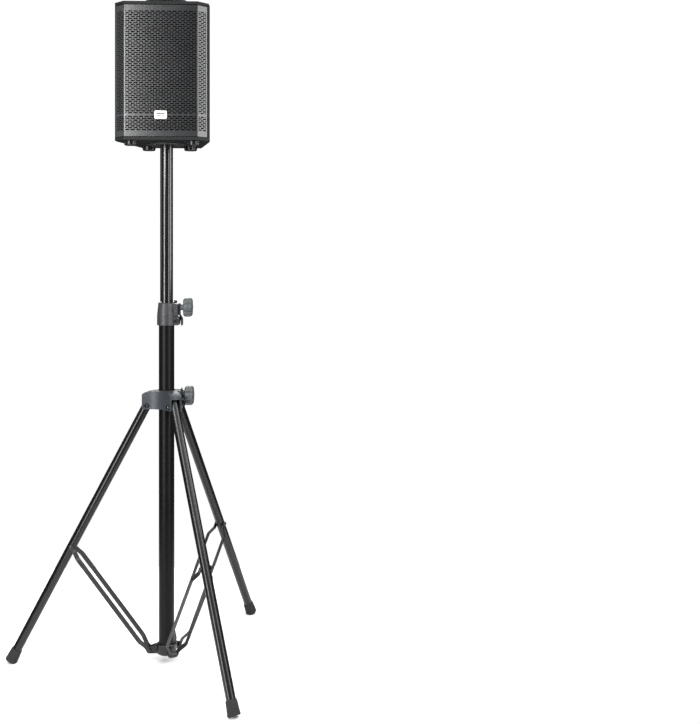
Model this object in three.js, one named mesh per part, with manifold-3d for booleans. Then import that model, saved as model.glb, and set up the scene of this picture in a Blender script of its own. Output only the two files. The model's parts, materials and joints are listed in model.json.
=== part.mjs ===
// A two-way loudspeaker cabinet on a telescopic tripod stand.
//
// Units are millimetres, +Z is up, the grille faces -Y and the floor is Z = 0. The column stands at
// X = columnX, so that the origin lies on the floor under the middle of the spread feet.
// Each sub-part is one closed solid. Parts that touch keep the gap "fit" between their faces.

import * as THREE from 'three';
import { mergeVertices } from 'three/addons/utils/BufferGeometryUtils.js';
import Module from 'manifold-3d';

// ---------------------------------------------------------------- driving dimensions

const fit = 0.3; // gap between faces that rest on each other
const running = 0.4; // radial play of a screw or pin in its hole
const tubeSides = 24; // facets round a tube and the bore that it fits
const smallSides = 16; // facets round a screw, a cap or a foot

const lowerTube = { radius: 21, wall: 2, bottom: 22, top: 942.7 };
const upperTube = { radius: 17.5, wall: 1.8, length: 1000 };
const tubeCap = { flange: 3, plug: 18, lead: 2 }; // lead is the taper that starts the plug in its tube
const tubePlug = { flange: 3, plug: 16, lead: 2 };
const guideBush = { length: 55, rim: 3, lap: 2 };
const tubeShown = 435; // bare upper tube between the height clamp and the cabinet

const heightClamp = {
  lowerHeight: 23.7,
  upperHeight: 37,
  lowerRadius: lowerTube.radius + 5,
  topRadius: upperTube.radius + 5.3,
  lugWidth: 26,
  lowerLugReach: lowerTube.radius + 15.5,
  bossReach: lowerTube.radius + 12,
  screwBelowTop: 12,
  split: 3,
};

const pinchBolt = { radius: 3, headRadius: 5.6, headLength: 4 };
const clampScrew = { radius: 5, grip: 12 }; // grip is how far the screw enters its knob
const pad = { radius: 6.3, thickness: 4.1, travel: 3, backGap: 0.6 };
const knob = { radius: 27.3, thickness: 24.7, lobes: 6, lobeDepth: 4.5, stemRadius: 8, stemLength: 8, bevel: 3 };

const lever = { thickness: 4.6, width: 16, top: 11, bend: 19, tip: 50, offset: 6.7 };
const safetyPin = {
  radius: 2,
  azimuth: 40,
  reachHead: upperTube.radius + 6.5,
  headLength: 9,
  headRadius: 4.4,
  reachTip: upperTube.radius + 9.5,
};
const pinHoles = { count: 4, spacing: 70 };

const legAzimuths = { left: 180, front: -60, back: 60 };
const legSpread = 27.9; // angle of an open leg from vertical
const legPivot = { radius: lowerTube.radius + 32.3, height: 701 };
const legTube = { radius: 12.5, wall: 1.5, above: 14 };
const footCap = {
  length: 37,
  topRadius: legTube.radius + 1.5,
  bottomRadius: legTube.radius + 4,
  sole: 7,
  trim: 2.5, // how much of the cap's rim is taken off flat where it stands on the floor
};

const legCollar = {
  below: 10, // depth of the skirt under the leg pivots
  above: 41, // height of the crown over the leg pivots
  crownDrop: 9, // how much lower the crown is at the arm tips
  hubRadius: lowerTube.radius + 8,
  boreRadius: lowerTube.radius + 3,
  armHalfWidth: legTube.radius + 4.5,
  armReach: legPivot.radius + 13.7,
  slotStart: lowerTube.radius + 10,
  slotCeiling: 21,
  webReach: legPivot.radius - 10.3,
  webDip: lowerTube.radius + 2,
  bossRadius: 15,
  bossReach: lowerTube.radius + 18,
  screwAbove: 25,
};
const clampWasher = { discRadius: 22, discThickness: 3, neckRadius: 13, neckLength: 7 };
const legBolt = { radius: 4, headRadius: 7, headLength: 4.5 };

const brace = { alongLeg: 434.5, width: 12, thickness: 3, halfSpread: 28, flat: 30, jog: 30, eye: 6.5 };
const braceRivet = { radius: 3, headRadius: 5.5, headLength: 2.5 };
const baseBracket = {
  pivotRadius: lowerTube.radius + 25,
  pivotHeight: 31,
  hubRadius: lowerTube.radius + 6,
  height: 27,
  lugHalfThickness: 9,
  lugRadius: 8.5,
};

const cabinet = {
  height: 365,
  halfWidth: 124,
  chamfer: 27, // the front corners are cut at 45 degrees
  taper: 41, // how much each side comes in towards the back
  front: -118,
  sideCorner: -63,
  rear: 117,
  wall: 12,
  plate: 15,
  lip: 8,
};
const baffle = { thickness: 15, setBack: 27.5, gap: 2.8 };
const grille = {
  thickness: 1.5,
  setBack: 2,
  stripWidth: 33,
  edgeGap: 1.5,
  solidBand: 14,
  stripeHeight: 66,
  stripeWidth: 6,
  slotsAcross: 7,
  slotLength: 21,
  slotHeight: 9,
  rowPitch: 15.9,
};
const badge = { width: 33, height: 22, thickness: 1.4, corner: 4 };
const woofer = {
  aboveFloor: 11.5, // from the cabinet's bottom plate to the rim of the frame
  flangeRadius: 101.5,
  flangeThickness: 3.7,
  coneRadius: 71.5,
  rollWidth: 13,
  rollGap: 0.8, // play between the cone's rim and the rubber roll
  frameDepth: 62,
  magnetRadius: 46,
  magnetDepth: 26,
  coilRadius: 25.5,
  coneDepth: 38,
  formerLength: 34,
  paper: 1.2,
  capRise: 13,
};
const horn = {
  centre: cabinet.height - 75,
  mouthHalfWidth: 88,
  mouthHalfHeight: 44,
  throatRadius: 13,
  depth: 75,
  wall: 3,
  flange: 4,
};
const driver = { radius: 45, depth: 40, neckRadius: 24, neckDepth: 10 };
const poleSocket = { depth: 75, wall: 3.5, flangeRadius: 52, flangeThickness: 3, play: 0.5 };
const cabinetFoot = {
  radius: 19,
  height: 11.7,
  front: [cabinet.halfWidth - 41, cabinet.front + 38],
  rear: [cabinet.halfWidth - 66, cabinet.rear - 49],
};
const handle = { halfLength: 70, gripHalf: 50, height: 34, gripThickness: 10, width: 26 };
const connectorPlate = { halfWidth: 60, halfHeight: 43, thickness: 3, centre: 110, dishDepth: 16 };
const socket = { radius: 13, spacing: 52, length: 24 };
const crossover = { halfWidth: 50, halfHeight: 45, centre: 260, stand: 10, ledge: 4 };

// ---------------------------------------------------------------- places that follow from them

const radians = Math.PI / 180;
const spread = legSpread * radians;
const clampBase = lowerTube.top - heightClamp.lowerHeight;
const clampSeam = lowerTube.top + fit;
const clampTop = clampSeam + heightClamp.upperHeight;
const clampScrewHeight = clampTop - heightClamp.screwBelowTop;
const pinHeight = clampTop + fit + safetyPin.radius;
const cabinetBottom = clampTop + tubeShown;
const upperTubeTop = cabinetBottom + poleSocket.depth - fit - tubeCap.flange;
const footReach = (legPivot.height - floorEndHeight()) / Math.cos(spread);
const columnX = standOffset();
const baffleFront = cabinet.front + baffle.setBack + baffle.gap;
const wooferCentre = cabinet.plate + woofer.aboveFloor + woofer.flangeRadius;

// Height of the leg's axis where its rubber cap ends, with the cap's rim trimmed flat on the floor.
function floorEndHeight() {
  return footCap.bottomRadius * Math.sin(spread) - footCap.trim;
}

// The single leg reaches further from the column than the pair opposite does.
function standOffset() {
  const axisReach = legPivot.radius + footReach * Math.sin(spread);
  const singleReach = axisReach + footCap.bottomRadius * Math.cos(spread);
  const pairReach = axisReach * Math.cos(60 * radians) + footCap.bottomRadius;
  return (singleReach - pairReach) / 2;
}

// ---------------------------------------------------------------- solids

const wasm = await Module();
wasm.setup();

// Turns a closed geometry into a manifold solid, facing out whichever way its profile ran.
function solid(geometry) {
  const bare = geometry.clone();
  bare.deleteAttribute('normal');
  bare.deleteAttribute('uv');
  const merged = mergeVertices(bare, 1e-4);
  const source = merged.index.array;
  const corners = [];
  for (let i = 0; i < source.length; i += 3) {
    const [a, b, c] = [source[i], source[i + 1], source[i + 2]];
    if (a !== b && b !== c && c !== a) corners.push(a, b, c);
  }
  const build = (triVerts) =>
    new wasm.Manifold(
      new wasm.Mesh({ numProp: 3, vertProperties: merged.attributes.position.array, triVerts }),
    );
  const made = build(new Uint32Array(corners));
  return made.volume() > 0 ? made : build(new Uint32Array(corners.reverse()));
}

function geometryOf(made) {
  const mesh = made.getMesh();
  const geometry = new THREE.BufferGeometry();
  geometry.setAttribute('position', new THREE.BufferAttribute(mesh.vertProperties, 3));
  geometry.setIndex(new THREE.BufferAttribute(mesh.triVerts, 1));
  geometry.computeVertexNormals();
  return geometry;
}

function join(...solids) {
  return solids.reduce((whole, next) => whole.add(next));
}

function cut(whole, ...tools) {
  return tools.reduce((rest, tool) => rest.subtract(tool), whole);
}

// A round bar along one axis, from low to high, through the point [across, up] of the other two axes.
function rod(axis, radius, low, high, at = [0, 0], sides = smallSides) {
  const bar = new THREE.CylinderGeometry(radius, radius, high - low, sides);
  const middle = (low + high) / 2;
  if (axis === 'x') bar.rotateZ(-Math.PI / 2).translate(middle, at[0], at[1]);
  if (axis === 'y') bar.translate(at[0], middle, at[1]);
  if (axis === 'z') bar.rotateX(Math.PI / 2).translate(at[0], at[1], middle);
  return solid(bar);
}

function block(x, y, z) {
  const box = new THREE.BoxGeometry(x[1] - x[0], y[1] - y[0], z[1] - z[0]);
  return solid(box.translate((x[0] + x[1]) / 2, (y[0] + y[1]) / 2, (z[0] + z[1]) / 2));
}

// A body of revolution about Z from [radius, height] points, closed on itself or on the axis.
function turned(profile, sides = tubeSides) {
  const onAxis = profile[0][0] === 0 && profile[profile.length - 1][0] === 0;
  const ring = onAxis ? profile : [...profile, profile[0]];
  const points = ring.map(([radius, height]) => new THREE.Vector2(radius, height));
  return solid(new THREE.LatheGeometry(points, sides).rotateX(Math.PI / 2));
}

function shapeOf(points) {
  return new THREE.Shape(points.map(([x, y]) => new THREE.Vector2(x, y)));
}

// A plan outline raised from low to high.
function raised(shape, low, high, curveSegments = 4) {
  const options = { depth: high - low, bevelEnabled: false, curveSegments };
  return solid(new THREE.ExtrudeGeometry(shape, options).translate(0, 0, low));
}

// An outline drawn in X and Z, made as thick as the span of Y, with softened edges where a bevel is given.
function sideways(shape, low, high, bevel = 0, curveSegments = 4) {
  const options = {
    depth: high - low - 2 * bevel,
    bevelEnabled: bevel > 0,
    bevelThickness: bevel,
    bevelSize: bevel,
    bevelOffset: -bevel,
    bevelSegments: 1,
    curveSegments,
  };
  return solid(new THREE.ExtrudeGeometry(shape, options).rotateX(Math.PI / 2).translate(0, high - bevel, 0));
}

function hexagon(radius) {
  const corners = [];
  for (let i = 0; i < 6; i += 1) {
    const angle = i * 60 * radians;
    corners.push([radius * Math.cos(angle), radius * Math.sin(angle)]);
  }
  return shapeOf(corners);
}

function turnedAbout(made, degrees) {
  return made.rotate([0, 0, degrees]);
}

// Moves each side of a convex outline inwards by the same distance.
function inset(points, distance) {
  const sides = points.map(([x, y], i) => {
    const [nextX, nextY] = points[(i + 1) % points.length];
    const length = Math.hypot(nextX - x, nextY - y);
    const normal = [-(nextY - y) / length, (nextX - x) / length];
    return { normal, reach: normal[0] * x + normal[1] * y + distance };
  });
  return sides.map((side, i) => {
    const before = sides[(i + sides.length - 1) % sides.length];
    const [a, b] = before.normal;
    const [c, d] = side.normal;
    const across = a * d - b * c;
    return [(before.reach * d - side.reach * b) / across, (a * side.reach - c * before.reach) / across];
  });
}

// ---------------------------------------------------------------- materials

function finish(color, roughness, metalness = 0) {
  return new THREE.MeshStandardMaterial({ color, roughness, metalness });
}

const glossTube = finish(0x18191b, 0.25, 0.3);
const powderCoat = finish(0x1b1b1c, 0.55, 0.2);
const clampCasting = finish(0x6f6f72, 0.5, 0.3);
const collarCasting = finish(0x5c6166, 0.5, 0.3);
const knobPlastic = finish(0x7d8888, 0.5);
const blackPlastic = finish(0x17171a, 0.5);
const nylon = finish(0x2a2a2a, 0.6);
const rubber = finish(0x2e2e2e, 0.9);
const zinc = finish(0xb9bcbf, 0.35, 0.9);
const barSteel = finish(0x3c3c3c, 0.5, 0.5);
const structurePaint = finish(0x1d1d1f, 0.8);
const grilleSteel = finish(0x3a3a3c, 0.45, 0.3);
const badgeWhite = finish(0xf2f2f2, 0.4);
const plywood = finish(0x2b2623, 0.85);
const paperCone = finish(0x202020, 0.9);
const darkSteel = finish(0x2d2f31, 0.5, 0.6);
const boardGreen = finish(0x24442e, 0.6);

// ---------------------------------------------------------------- scene graph

const speakerOnStand = new THREE.Group();

const stand = new THREE.Group();
stand.position.x = columnX;
speakerOnStand.add(stand);

const speaker = new THREE.Group();
speaker.position.z = cabinetBottom;
stand.add(speaker);

function piece(name, made, material, parent) {
  const mesh = new THREE.Mesh(geometryOf(made), material);
  mesh.name = name;
  parent.add(mesh);
  return mesh;
}

// ---------------------------------------------------------------- column

function tube(radius, wall, low, high, sides = tubeSides) {
  return turned(
    [
      [radius - wall, low],
      [radius, low],
      [radius, high],
      [radius - wall, high],
    ],
    sides,
  );
}

function makeLowerTube() {
  return tube(lowerTube.radius, lowerTube.wall, lowerTube.bottom, lowerTube.top);
}

// The upper tube has a row of cross holes, so that the pin can stop it at several heights.
function makeUpperTube() {
  const bottom = upperTubeTop - upperTube.length;
  let made = tube(upperTube.radius, upperTube.wall, bottom, upperTubeTop);
  for (let i = 0; i < pinHoles.count; i += 1) {
    const height = pinHeight - i * pinHoles.spacing;
    const hole = rod('x', safetyPin.radius + running, -upperTube.radius - 5, upperTube.radius + 5, [0, height], 8);
    made = cut(made, turnedAbout(hole, safetyPin.azimuth));
  }
  return made;
}

// A guide bush round the lower end of the upper tube, which slides in the lower tube.
function makeUpperTubeBush() {
  const bottom = upperTubeTop - upperTube.length;
  const outer = lowerTube.radius - lowerTube.wall - fit;
  const inner = upperTube.radius + fit;
  const rim = upperTube.radius - upperTube.wall - guideBush.lap;
  return turned([
    [rim, bottom - fit - guideBush.rim],
    [outer, bottom - fit - guideBush.rim],
    [outer, bottom + guideBush.length],
    [inner, bottom + guideBush.length],
    [inner, bottom - fit],
    [rim, bottom - fit],
  ]);
}

function makeTubeCap() {
  const plug = upperTube.radius - upperTube.wall - fit;
  const profile = [
    [0, upperTubeTop - tubeCap.plug],
    [plug - 1, upperTubeTop - tubeCap.plug],
    [plug, upperTubeTop - tubeCap.plug + tubeCap.lead],
    [plug, upperTubeTop + fit],
    [upperTube.radius, upperTubeTop + fit],
    [upperTube.radius - 1, upperTubeTop + tubeCap.flange],
    [0, upperTubeTop + tubeCap.flange],
  ];
  return turned(profile, smallSides);
}

function makeTubeFoot() {
  const plug = lowerTube.radius - lowerTube.wall - fit;
  const seat = lowerTube.bottom - fit;
  const profile = [
    [0, seat - tubePlug.flange],
    [lowerTube.radius - 1, seat - tubePlug.flange],
    [lowerTube.radius, seat],
    [plug, seat],
    [plug, lowerTube.bottom + tubePlug.plug - tubePlug.lead],
    [plug - 1.5, lowerTube.bottom + tubePlug.plug],
    [0, lowerTube.bottom + tubePlug.plug],
  ];
  return turned(profile, smallSides);
}

// ---------------------------------------------------------------- height clamp

// The lower ring is split, and a pinch bolt closes its two ears on the lower tube.
function makeClampRing() {
  const half = heightClamp.lugWidth / 2;
  const ring = turned([
    [lowerTube.radius - 4, clampBase],
    [heightClamp.lowerRadius - 1.5, clampBase],
    [heightClamp.lowerRadius, clampBase + 1.5],
    [heightClamp.lowerRadius, clampSeam - fit],
    [lowerTube.radius - 4, clampSeam - fit],
  ]);
  const ears = new THREE.Shape();
  ears.moveTo(10, clampBase);
  ears.lineTo(heightClamp.lowerLugReach - 6, clampBase);
  ears.quadraticCurveTo(heightClamp.lowerLugReach, clampBase, heightClamp.lowerLugReach, clampBase + 6);
  ears.lineTo(heightClamp.lowerLugReach, clampSeam - fit);
  ears.lineTo(10, clampSeam - fit);
  return cut(
    join(ring, sideways(ears, -half, half, 1.5, 3)),
    rod('z', lowerTube.radius + fit, clampBase - 5, clampSeam + 5, [0, 0], tubeSides),
    block([15, heightClamp.lowerLugReach + 5], [-heightClamp.split / 2, heightClamp.split / 2], [clampBase - 5, clampSeam + 5]),
    rod('y', pinchBolt.radius + running, -half - 5, half + 5, [pinchBoltX(), pinchBoltHeight()], 12),
  );
}

function pinchBoltX() {
  return lowerTube.radius + fit + 2 + pinchBolt.radius + running + 1.5;
}

function pinchBoltHeight() {
  return clampBase + heightClamp.lowerHeight / 2;
}

// A bolt along Y with a hexagon head and nut outside a span of the given half width.
function crossBolt(sizes, halfSpan, x, z, sides = 12) {
  const inner = halfSpan + fit;
  const outer = inner + sizes.headLength;
  const head = sideways(hexagon(sizes.headRadius), -outer, -inner);
  const nut = sideways(hexagon(sizes.headRadius), inner, outer);
  const bolt = join(rod('y', sizes.radius, -outer + 1, outer - 1, [0, 0], sides), head, nut);
  return bolt.translate([x, 0, z]);
}

// The upper ring carries the boss of the radial clamping screw. Its bore guides the upper tube.
function makeClampBody() {
  const half = heightClamp.lugWidth / 2;
  const body = turned([
    [upperTube.radius - 4, clampSeam],
    [heightClamp.lowerRadius, clampSeam],
    [heightClamp.lowerRadius - 0.6, clampSeam + 10],
    [heightClamp.topRadius, clampTop - 2],
    [heightClamp.topRadius - 1.6, clampTop],
    [upperTube.radius - 4, clampTop],
  ]);
  const boss = new THREE.Shape();
  boss.moveTo(10, clampSeam);
  boss.lineTo(heightClamp.bossReach - 3, clampSeam);
  boss.lineTo(heightClamp.bossReach, clampSeam + 5);
  boss.lineTo(heightClamp.bossReach, clampTop - 8);
  boss.quadraticCurveTo(heightClamp.bossReach, clampTop - 3, heightClamp.bossReach - 5, clampTop - 3);
  boss.lineTo(10, clampTop - 3);
  return cut(
    join(body, sideways(boss, -half, half, 2, 4)),
    rod('z', upperTube.radius + fit, clampSeam - 5, clampTop + 5, [0, 0], tubeSides),
    rod('x', pad.radius + fit, 5, padPocket(upperTube.radius), [0, clampScrewHeight]),
    rod('x', clampScrew.radius + running, 5, heightClamp.bossReach + 5, [0, clampScrewHeight]),
  );
}

// X of the outer face of the pad that presses on a tube of the given radius.
function padEnd(tubeRadius) {
  return tubeRadius + fit + pad.thickness;
}

// X of the end of the pocket that the pad backs into.
function padPocket(tubeRadius) {
  return padEnd(tubeRadius) + pad.travel + pad.backGap;
}

function makePad(tubeRadius, height) {
  return cut(
    rod('x', pad.radius, tubeRadius - 5, padEnd(tubeRadius), [0, height], 20),
    rod('z', tubeRadius + fit, height - 20, height + 20, [0, 0], tubeSides),
  );
}

function makeScrew(tubeRadius, stemStart, height) {
  return rod('x', clampScrew.radius, padEnd(tubeRadius) + fit, stemStart + knob.stemLength + clampScrew.grip, [0, height]);
}

// A knob with rounded lobes on a stem, both bored for the screw. It faces +X.
function makeKnob(stemStart, height) {
  const outline = [];
  const steps = knob.lobes * 5;
  for (let i = 0; i < steps; i += 1) {
    const angle = (i / steps) * 2 * Math.PI;
    const wave = Math.abs(Math.sin((knob.lobes * angle) / 2));
    const radius = knob.radius - knob.lobeDepth * (1 - wave) ** 1.4;
    outline.push([radius * Math.cos(angle), radius * Math.sin(angle)]);
  }
  const { bevel, stemLength } = knob;
  const head = new THREE.ExtrudeGeometry(shapeOf(outline), {
    depth: knob.thickness - 2 * bevel,
    bevelThickness: bevel,
    bevelSize: bevel,
    bevelOffset: -bevel,
    bevelSegments: 1,
  });
  head.rotateY(Math.PI / 2).translate(stemStart + stemLength + bevel, 0, height);
  const screwEnd = stemStart + stemLength + clampScrew.grip;
  return cut(
    join(solid(head), rod('x', knob.stemRadius, stemStart, stemStart + stemLength + 1, [0, height])),
    rod('x', clampScrew.radius + fit, stemStart - 5, screwEnd + fit, [0, height]),
  );
}

// A bent plate lever on the clamping screw, between the boss and the knob.
function makeLever() {
  const inner = heightClamp.bossReach + fit;
  const outer = inner + lever.thickness;
  const top = clampScrewHeight + lever.top;
  const bend = clampScrewHeight - lever.bend;
  const tip = clampScrewHeight - lever.tip;
  const shape = new THREE.Shape();
  shape.moveTo(inner, bend);
  shape.lineTo(inner, top);
  shape.lineTo(outer - 2, top);
  shape.lineTo(outer, top - 2);
  shape.lineTo(outer, bend);
  shape.lineTo(outer + lever.offset, bend - 12);
  shape.lineTo(outer + lever.offset, tip + 3);
  shape.lineTo(outer + lever.offset - 2, tip);
  shape.lineTo(inner + lever.offset, tip);
  shape.lineTo(inner + lever.offset, bend - 10);
  const half = lever.width / 2;
  return cut(
    sideways(shape, -half, half, 1.2, 3),
    rod('x', clampScrew.radius + running, inner - 5, outer + 5, [0, clampScrewHeight], 20),
  );
}

// Drawn along X. The group that holds it turns it to the holes in the tube.
function makeSafetyPin() {
  const { radius, headRadius, headLength, reachHead, reachTip } = safetyPin;
  const shank = turned(
    [
      [0, -reachTip],
      [radius - 1, -reachTip],
      [radius, -reachTip + 2],
      [radius, reachHead],
      [headRadius - 1, reachHead],
      [headRadius, reachHead + 1],
      [headRadius, reachHead + headLength - 2],
      [headRadius - 2, reachHead + headLength],
      [0, reachHead + headLength],
    ],
    12,
  );
  return shank.rotate([0, 90, 0]).translate([0, 0, pinHeight]);
}

// ---------------------------------------------------------------- leg collar

// The plan of the web that joins two neighbouring arms, opening towards +X between arms at 60 degrees each way.
function webPlan() {
  const { armHalfWidth, webReach, webDip } = legCollar;
  const half = 60 * radians;
  const x = webReach * Math.cos(half) + armHalfWidth * Math.sin(half);
  const y = webReach * Math.sin(half) - armHalfWidth * Math.cos(half);
  const plan = new THREE.Shape();
  plan.moveTo(0, -5);
  plan.lineTo(x, -y);
  plan.quadraticCurveTo(webDip, 0, x, y);
  plan.lineTo(0, 5);
  return plan;
}

// A casting with three channel arms that open downwards and outwards, each holding the head of a leg.
function makeLegCollar() {
  const low = legPivot.height - legCollar.below;
  const high = legPivot.height + legCollar.above;
  const arms = Object.values(legAzimuths);
  const { armHalfWidth, armReach, slotStart } = legCollar;
  let casting = rod('z', legCollar.hubRadius, low, high, [0, 0], tubeSides);
  for (const azimuth of arms) {
    casting = casting.add(turnedAbout(block([0, armReach], [-armHalfWidth, armHalfWidth], [low, high]), azimuth));
    casting = casting.add(turnedAbout(raised(webPlan(), low, high, 7), azimuth + 60));
  }
  const crown = turned(
    [
      [0, low],
      [armReach - 3, low],
      [armReach, low + 4],
      [armReach, high - legCollar.crownDrop - 3],
      [armReach - 4, high - legCollar.crownDrop],
      [armReach * 0.75, high - legCollar.crownDrop * 0.42],
      [legCollar.hubRadius, high - 1],
      [legCollar.hubRadius - 3, high],
      [0, high],
    ],
    36,
  );
  casting = casting.intersect(crown);
  const screwHeight = legPivot.height + legCollar.screwAbove;
  casting = casting.add(rod('x', legCollar.bossRadius, 15, legCollar.bossReach, [0, screwHeight]));
  for (const azimuth of arms) {
    const halfSlot = legTube.radius + running;
    const slot = block([slotStart, armReach + 10], [-halfSlot, halfSlot], [low - 5, legPivot.height + legCollar.slotCeiling]);
    const hole = rod('y', legBolt.radius + running, -armHalfWidth - 5, armHalfWidth + 5, [legPivot.radius, legPivot.height], 10);
    casting = cut(casting, turnedAbout(slot, azimuth), turnedAbout(hole, azimuth));
  }
  return cut(
    casting,
    rod('z', legCollar.boreRadius, low - 5, high + 5, [0, 0], tubeSides),
    rod('x', pad.radius + fit, 15, padPocket(lowerTube.radius), [0, screwHeight]),
    rod('x', clampScrew.radius + running, 15, legCollar.bossReach + 5, [0, screwHeight]),
  );
}

// A nylon sleeve in the collar's bore, with a hole for the pad.
function makeCollarLiner() {
  const low = legPivot.height - legCollar.below + 2;
  const high = legPivot.height + legCollar.above - 2;
  const sleeve = tube(legCollar.boreRadius - fit, legCollar.boreRadius - lowerTube.radius - 2 * fit, low, high);
  const screwHeight = legPivot.height + legCollar.screwAbove;
  return cut(sleeve, rod('x', pad.radius + fit, 0, legCollar.boreRadius + 5, [0, screwHeight]));
}

function makeClampWasher() {
  const start = legCollar.bossReach + fit;
  const { discRadius, discThickness, neckRadius, neckLength } = clampWasher;
  const profile = [
    [clampScrew.radius + running, 0],
    [discRadius - 1, 0],
    [discRadius, 1],
    [discRadius, discThickness],
    [neckRadius, discThickness + 1],
    [neckRadius - 1, discThickness + neckLength],
    [clampScrew.radius + running, discThickness + neckLength],
  ];
  return turned(profile, smallSides).rotate([0, 90, 0]).translate([start, 0, legPivot.height + legCollar.screwAbove]);
}

// ---------------------------------------------------------------- legs and braces

// Each leg hangs in its own group: origin at the pivot bolt, the leg along -Z.
function makeLeg() {
  const length = footReach - footCap.sole - fit;
  const made = tube(legTube.radius, legTube.wall, -length, legTube.above, smallSides);
  const across = legTube.radius + 5;
  return cut(
    made,
    rod('y', legBolt.radius + running, -across, across, [0, 0], 10),
    rod('y', braceRivet.radius + running, -across, across, [0, -brace.alongLeg], 8),
  );
}

function makeFootCap(legPose) {
  const top = -footReach + footCap.length;
  const inner = legTube.radius + fit;
  const cap = turned(
    [
      [0, -footReach],
      [footCap.bottomRadius - 1.5, -footReach],
      [footCap.bottomRadius, -footReach + 1.5],
      [footCap.bottomRadius - 0.4, -footReach + 10],
      [footCap.topRadius + 0.6, top - 4],
      [footCap.topRadius, top],
      [inner, top],
      [inner, -footReach + footCap.sole],
      [0, -footReach + footCap.sole],
    ],
    smallSides,
  );
  const ground = new THREE.BoxGeometry(1200, 400, 100).translate(0, 0, -50);
  return cut(cap, solid(ground.applyMatrix4(legPose.clone().invert())));
}

// Where the braces meet the leg, and how long and how steep they are.
function braceLayout() {
  const top = [
    legPivot.radius + brace.alongLeg * Math.sin(spread),
    legPivot.height - brace.alongLeg * Math.cos(spread),
  ];
  const run = top[0] - baseBracket.pivotRadius;
  const drop = top[1] - baseBracket.pivotHeight;
  return { top, length: Math.hypot(run, drop), slope: Math.atan2(run, drop) };
}

// One flat bar of a pair: it lies on the leg, jogs out, runs parallel, and jogs in to the base bracket.
// It is drawn in its own group: origin at the rivet on the leg, the bar along -Z, side is +1 or -1 in Y.
function makeBraceBar(side, length) {
  const atLeg = legTube.radius + 2 * fit + brace.thickness / 2;
  const atBase = baseBracket.lugHalfThickness + 2 * fit + brace.thickness / 2;
  const bends = [
    [brace.eye + 2, atLeg],
    [-brace.flat + 8, atLeg],
    [-brace.flat - brace.jog, brace.halfSpread],
    [-length + brace.flat + brace.jog, brace.halfSpread],
    [-length + brace.flat - 8, atBase],
    [-length - brace.eye - 2, atBase],
  ];
  const near = bends.map(([z, y]) => [y - brace.thickness / 2, z]);
  const far = bends.map(([z, y]) => [y + brace.thickness / 2, z]).reverse();
  const strip = new THREE.ExtrudeGeometry(shapeOf([...near, ...far]), { depth: 20, bevelEnabled: false });
  strip.rotateX(Math.PI / 2).rotateZ(Math.PI / 2);
  const half = brace.width / 2;
  const outline = new THREE.Shape();
  outline.moveTo(half, 0);
  outline.absarc(0, 0, half, 0, Math.PI, false);
  outline.lineTo(-half, -length);
  outline.absarc(0, -length, half, Math.PI, 2 * Math.PI, false);
  const width = sideways(outline, 0, 60, 0, 3);
  const placed = solid(strip).translate([-10, 0, 0]);
  const bar = width.intersect(placed);
  const foot = atBase + brace.thickness / 2;
  const head = rod('y', braceRivet.headRadius, foot - 1, foot + braceRivet.headLength, [0, -length], 10);
  const made = cut(join(bar, head), rod('y', braceRivet.radius + running, 0, 40, [0, 0], 8));
  return side > 0 ? made : made.mirror([0, 1, 0]);
}

// The rivet through a leg and the upper eyes of its two bars.
function makeBraceRivet() {
  const inner = legTube.radius + 3 * fit + brace.thickness;
  const outer = inner + braceRivet.headLength;
  const made = turned(
    [
      [0, -outer],
      [braceRivet.headRadius - 1.5, -outer],
      [braceRivet.headRadius, -inner],
      [braceRivet.radius, -inner],
      [braceRivet.radius, inner],
      [braceRivet.headRadius, inner],
      [braceRivet.headRadius - 1.5, outer],
      [0, outer],
    ],
    10,
  );
  return made.rotate([90, 0, 0]).translate([0, 0, -brace.alongLeg]);
}

// A ring pressed on the foot of the column, with one lug for each pair of braces.
function makeBaseBracket() {
  const low = lowerTube.bottom;
  const high = low + baseBracket.height;
  const { pivotRadius, pivotHeight, lugRadius, lugHalfThickness } = baseBracket;
  let made = turned([
    [lowerTube.radius - 4, low],
    [baseBracket.hubRadius - 2, low],
    [baseBracket.hubRadius, low + 2],
    [baseBracket.hubRadius, high - 2],
    [baseBracket.hubRadius - 2, high],
    [lowerTube.radius - 4, high],
  ]);
  for (const azimuth of Object.values(legAzimuths)) {
    const lug = new THREE.Shape();
    lug.moveTo(lowerTube.radius, pivotHeight - lugRadius);
    lug.lineTo(pivotRadius, pivotHeight - lugRadius);
    lug.absarc(pivotRadius, pivotHeight, lugRadius, -Math.PI / 2, Math.PI / 2 - 0.5, false);
    lug.lineTo(lowerTube.radius, high - 1);
    const body = sideways(lug, -lugHalfThickness, lugHalfThickness, 0, 5);
    const eye = rod('y', braceRivet.radius + running, -20, 20, [pivotRadius, pivotHeight], 8);
    made = made.add(turnedAbout(body, azimuth)).subtract(turnedAbout(eye, azimuth));
  }
  return made.subtract(rod('z', lowerTube.radius + fit, low - 5, high + 5, [0, 0], tubeSides));
}

// ---------------------------------------------------------------- cabinet

function cabinetOutline() {
  const { halfWidth, chamfer, taper, front, rear, sideCorner } = cabinet;
  const frontHalfWidth = halfWidth - chamfer;
  const rearHalfWidth = halfWidth - taper;
  const chamferEnd = front + chamfer;
  return [
    [-frontHalfWidth, front],
    [frontHalfWidth, front],
    [halfWidth, chamferEnd],
    [halfWidth, sideCorner],
    [rearHalfWidth, rear],
    [-rearHalfWidth, rear],
    [-halfWidth, sideCorner],
    [-halfWidth, chamferEnd],
  ];
}


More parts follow.
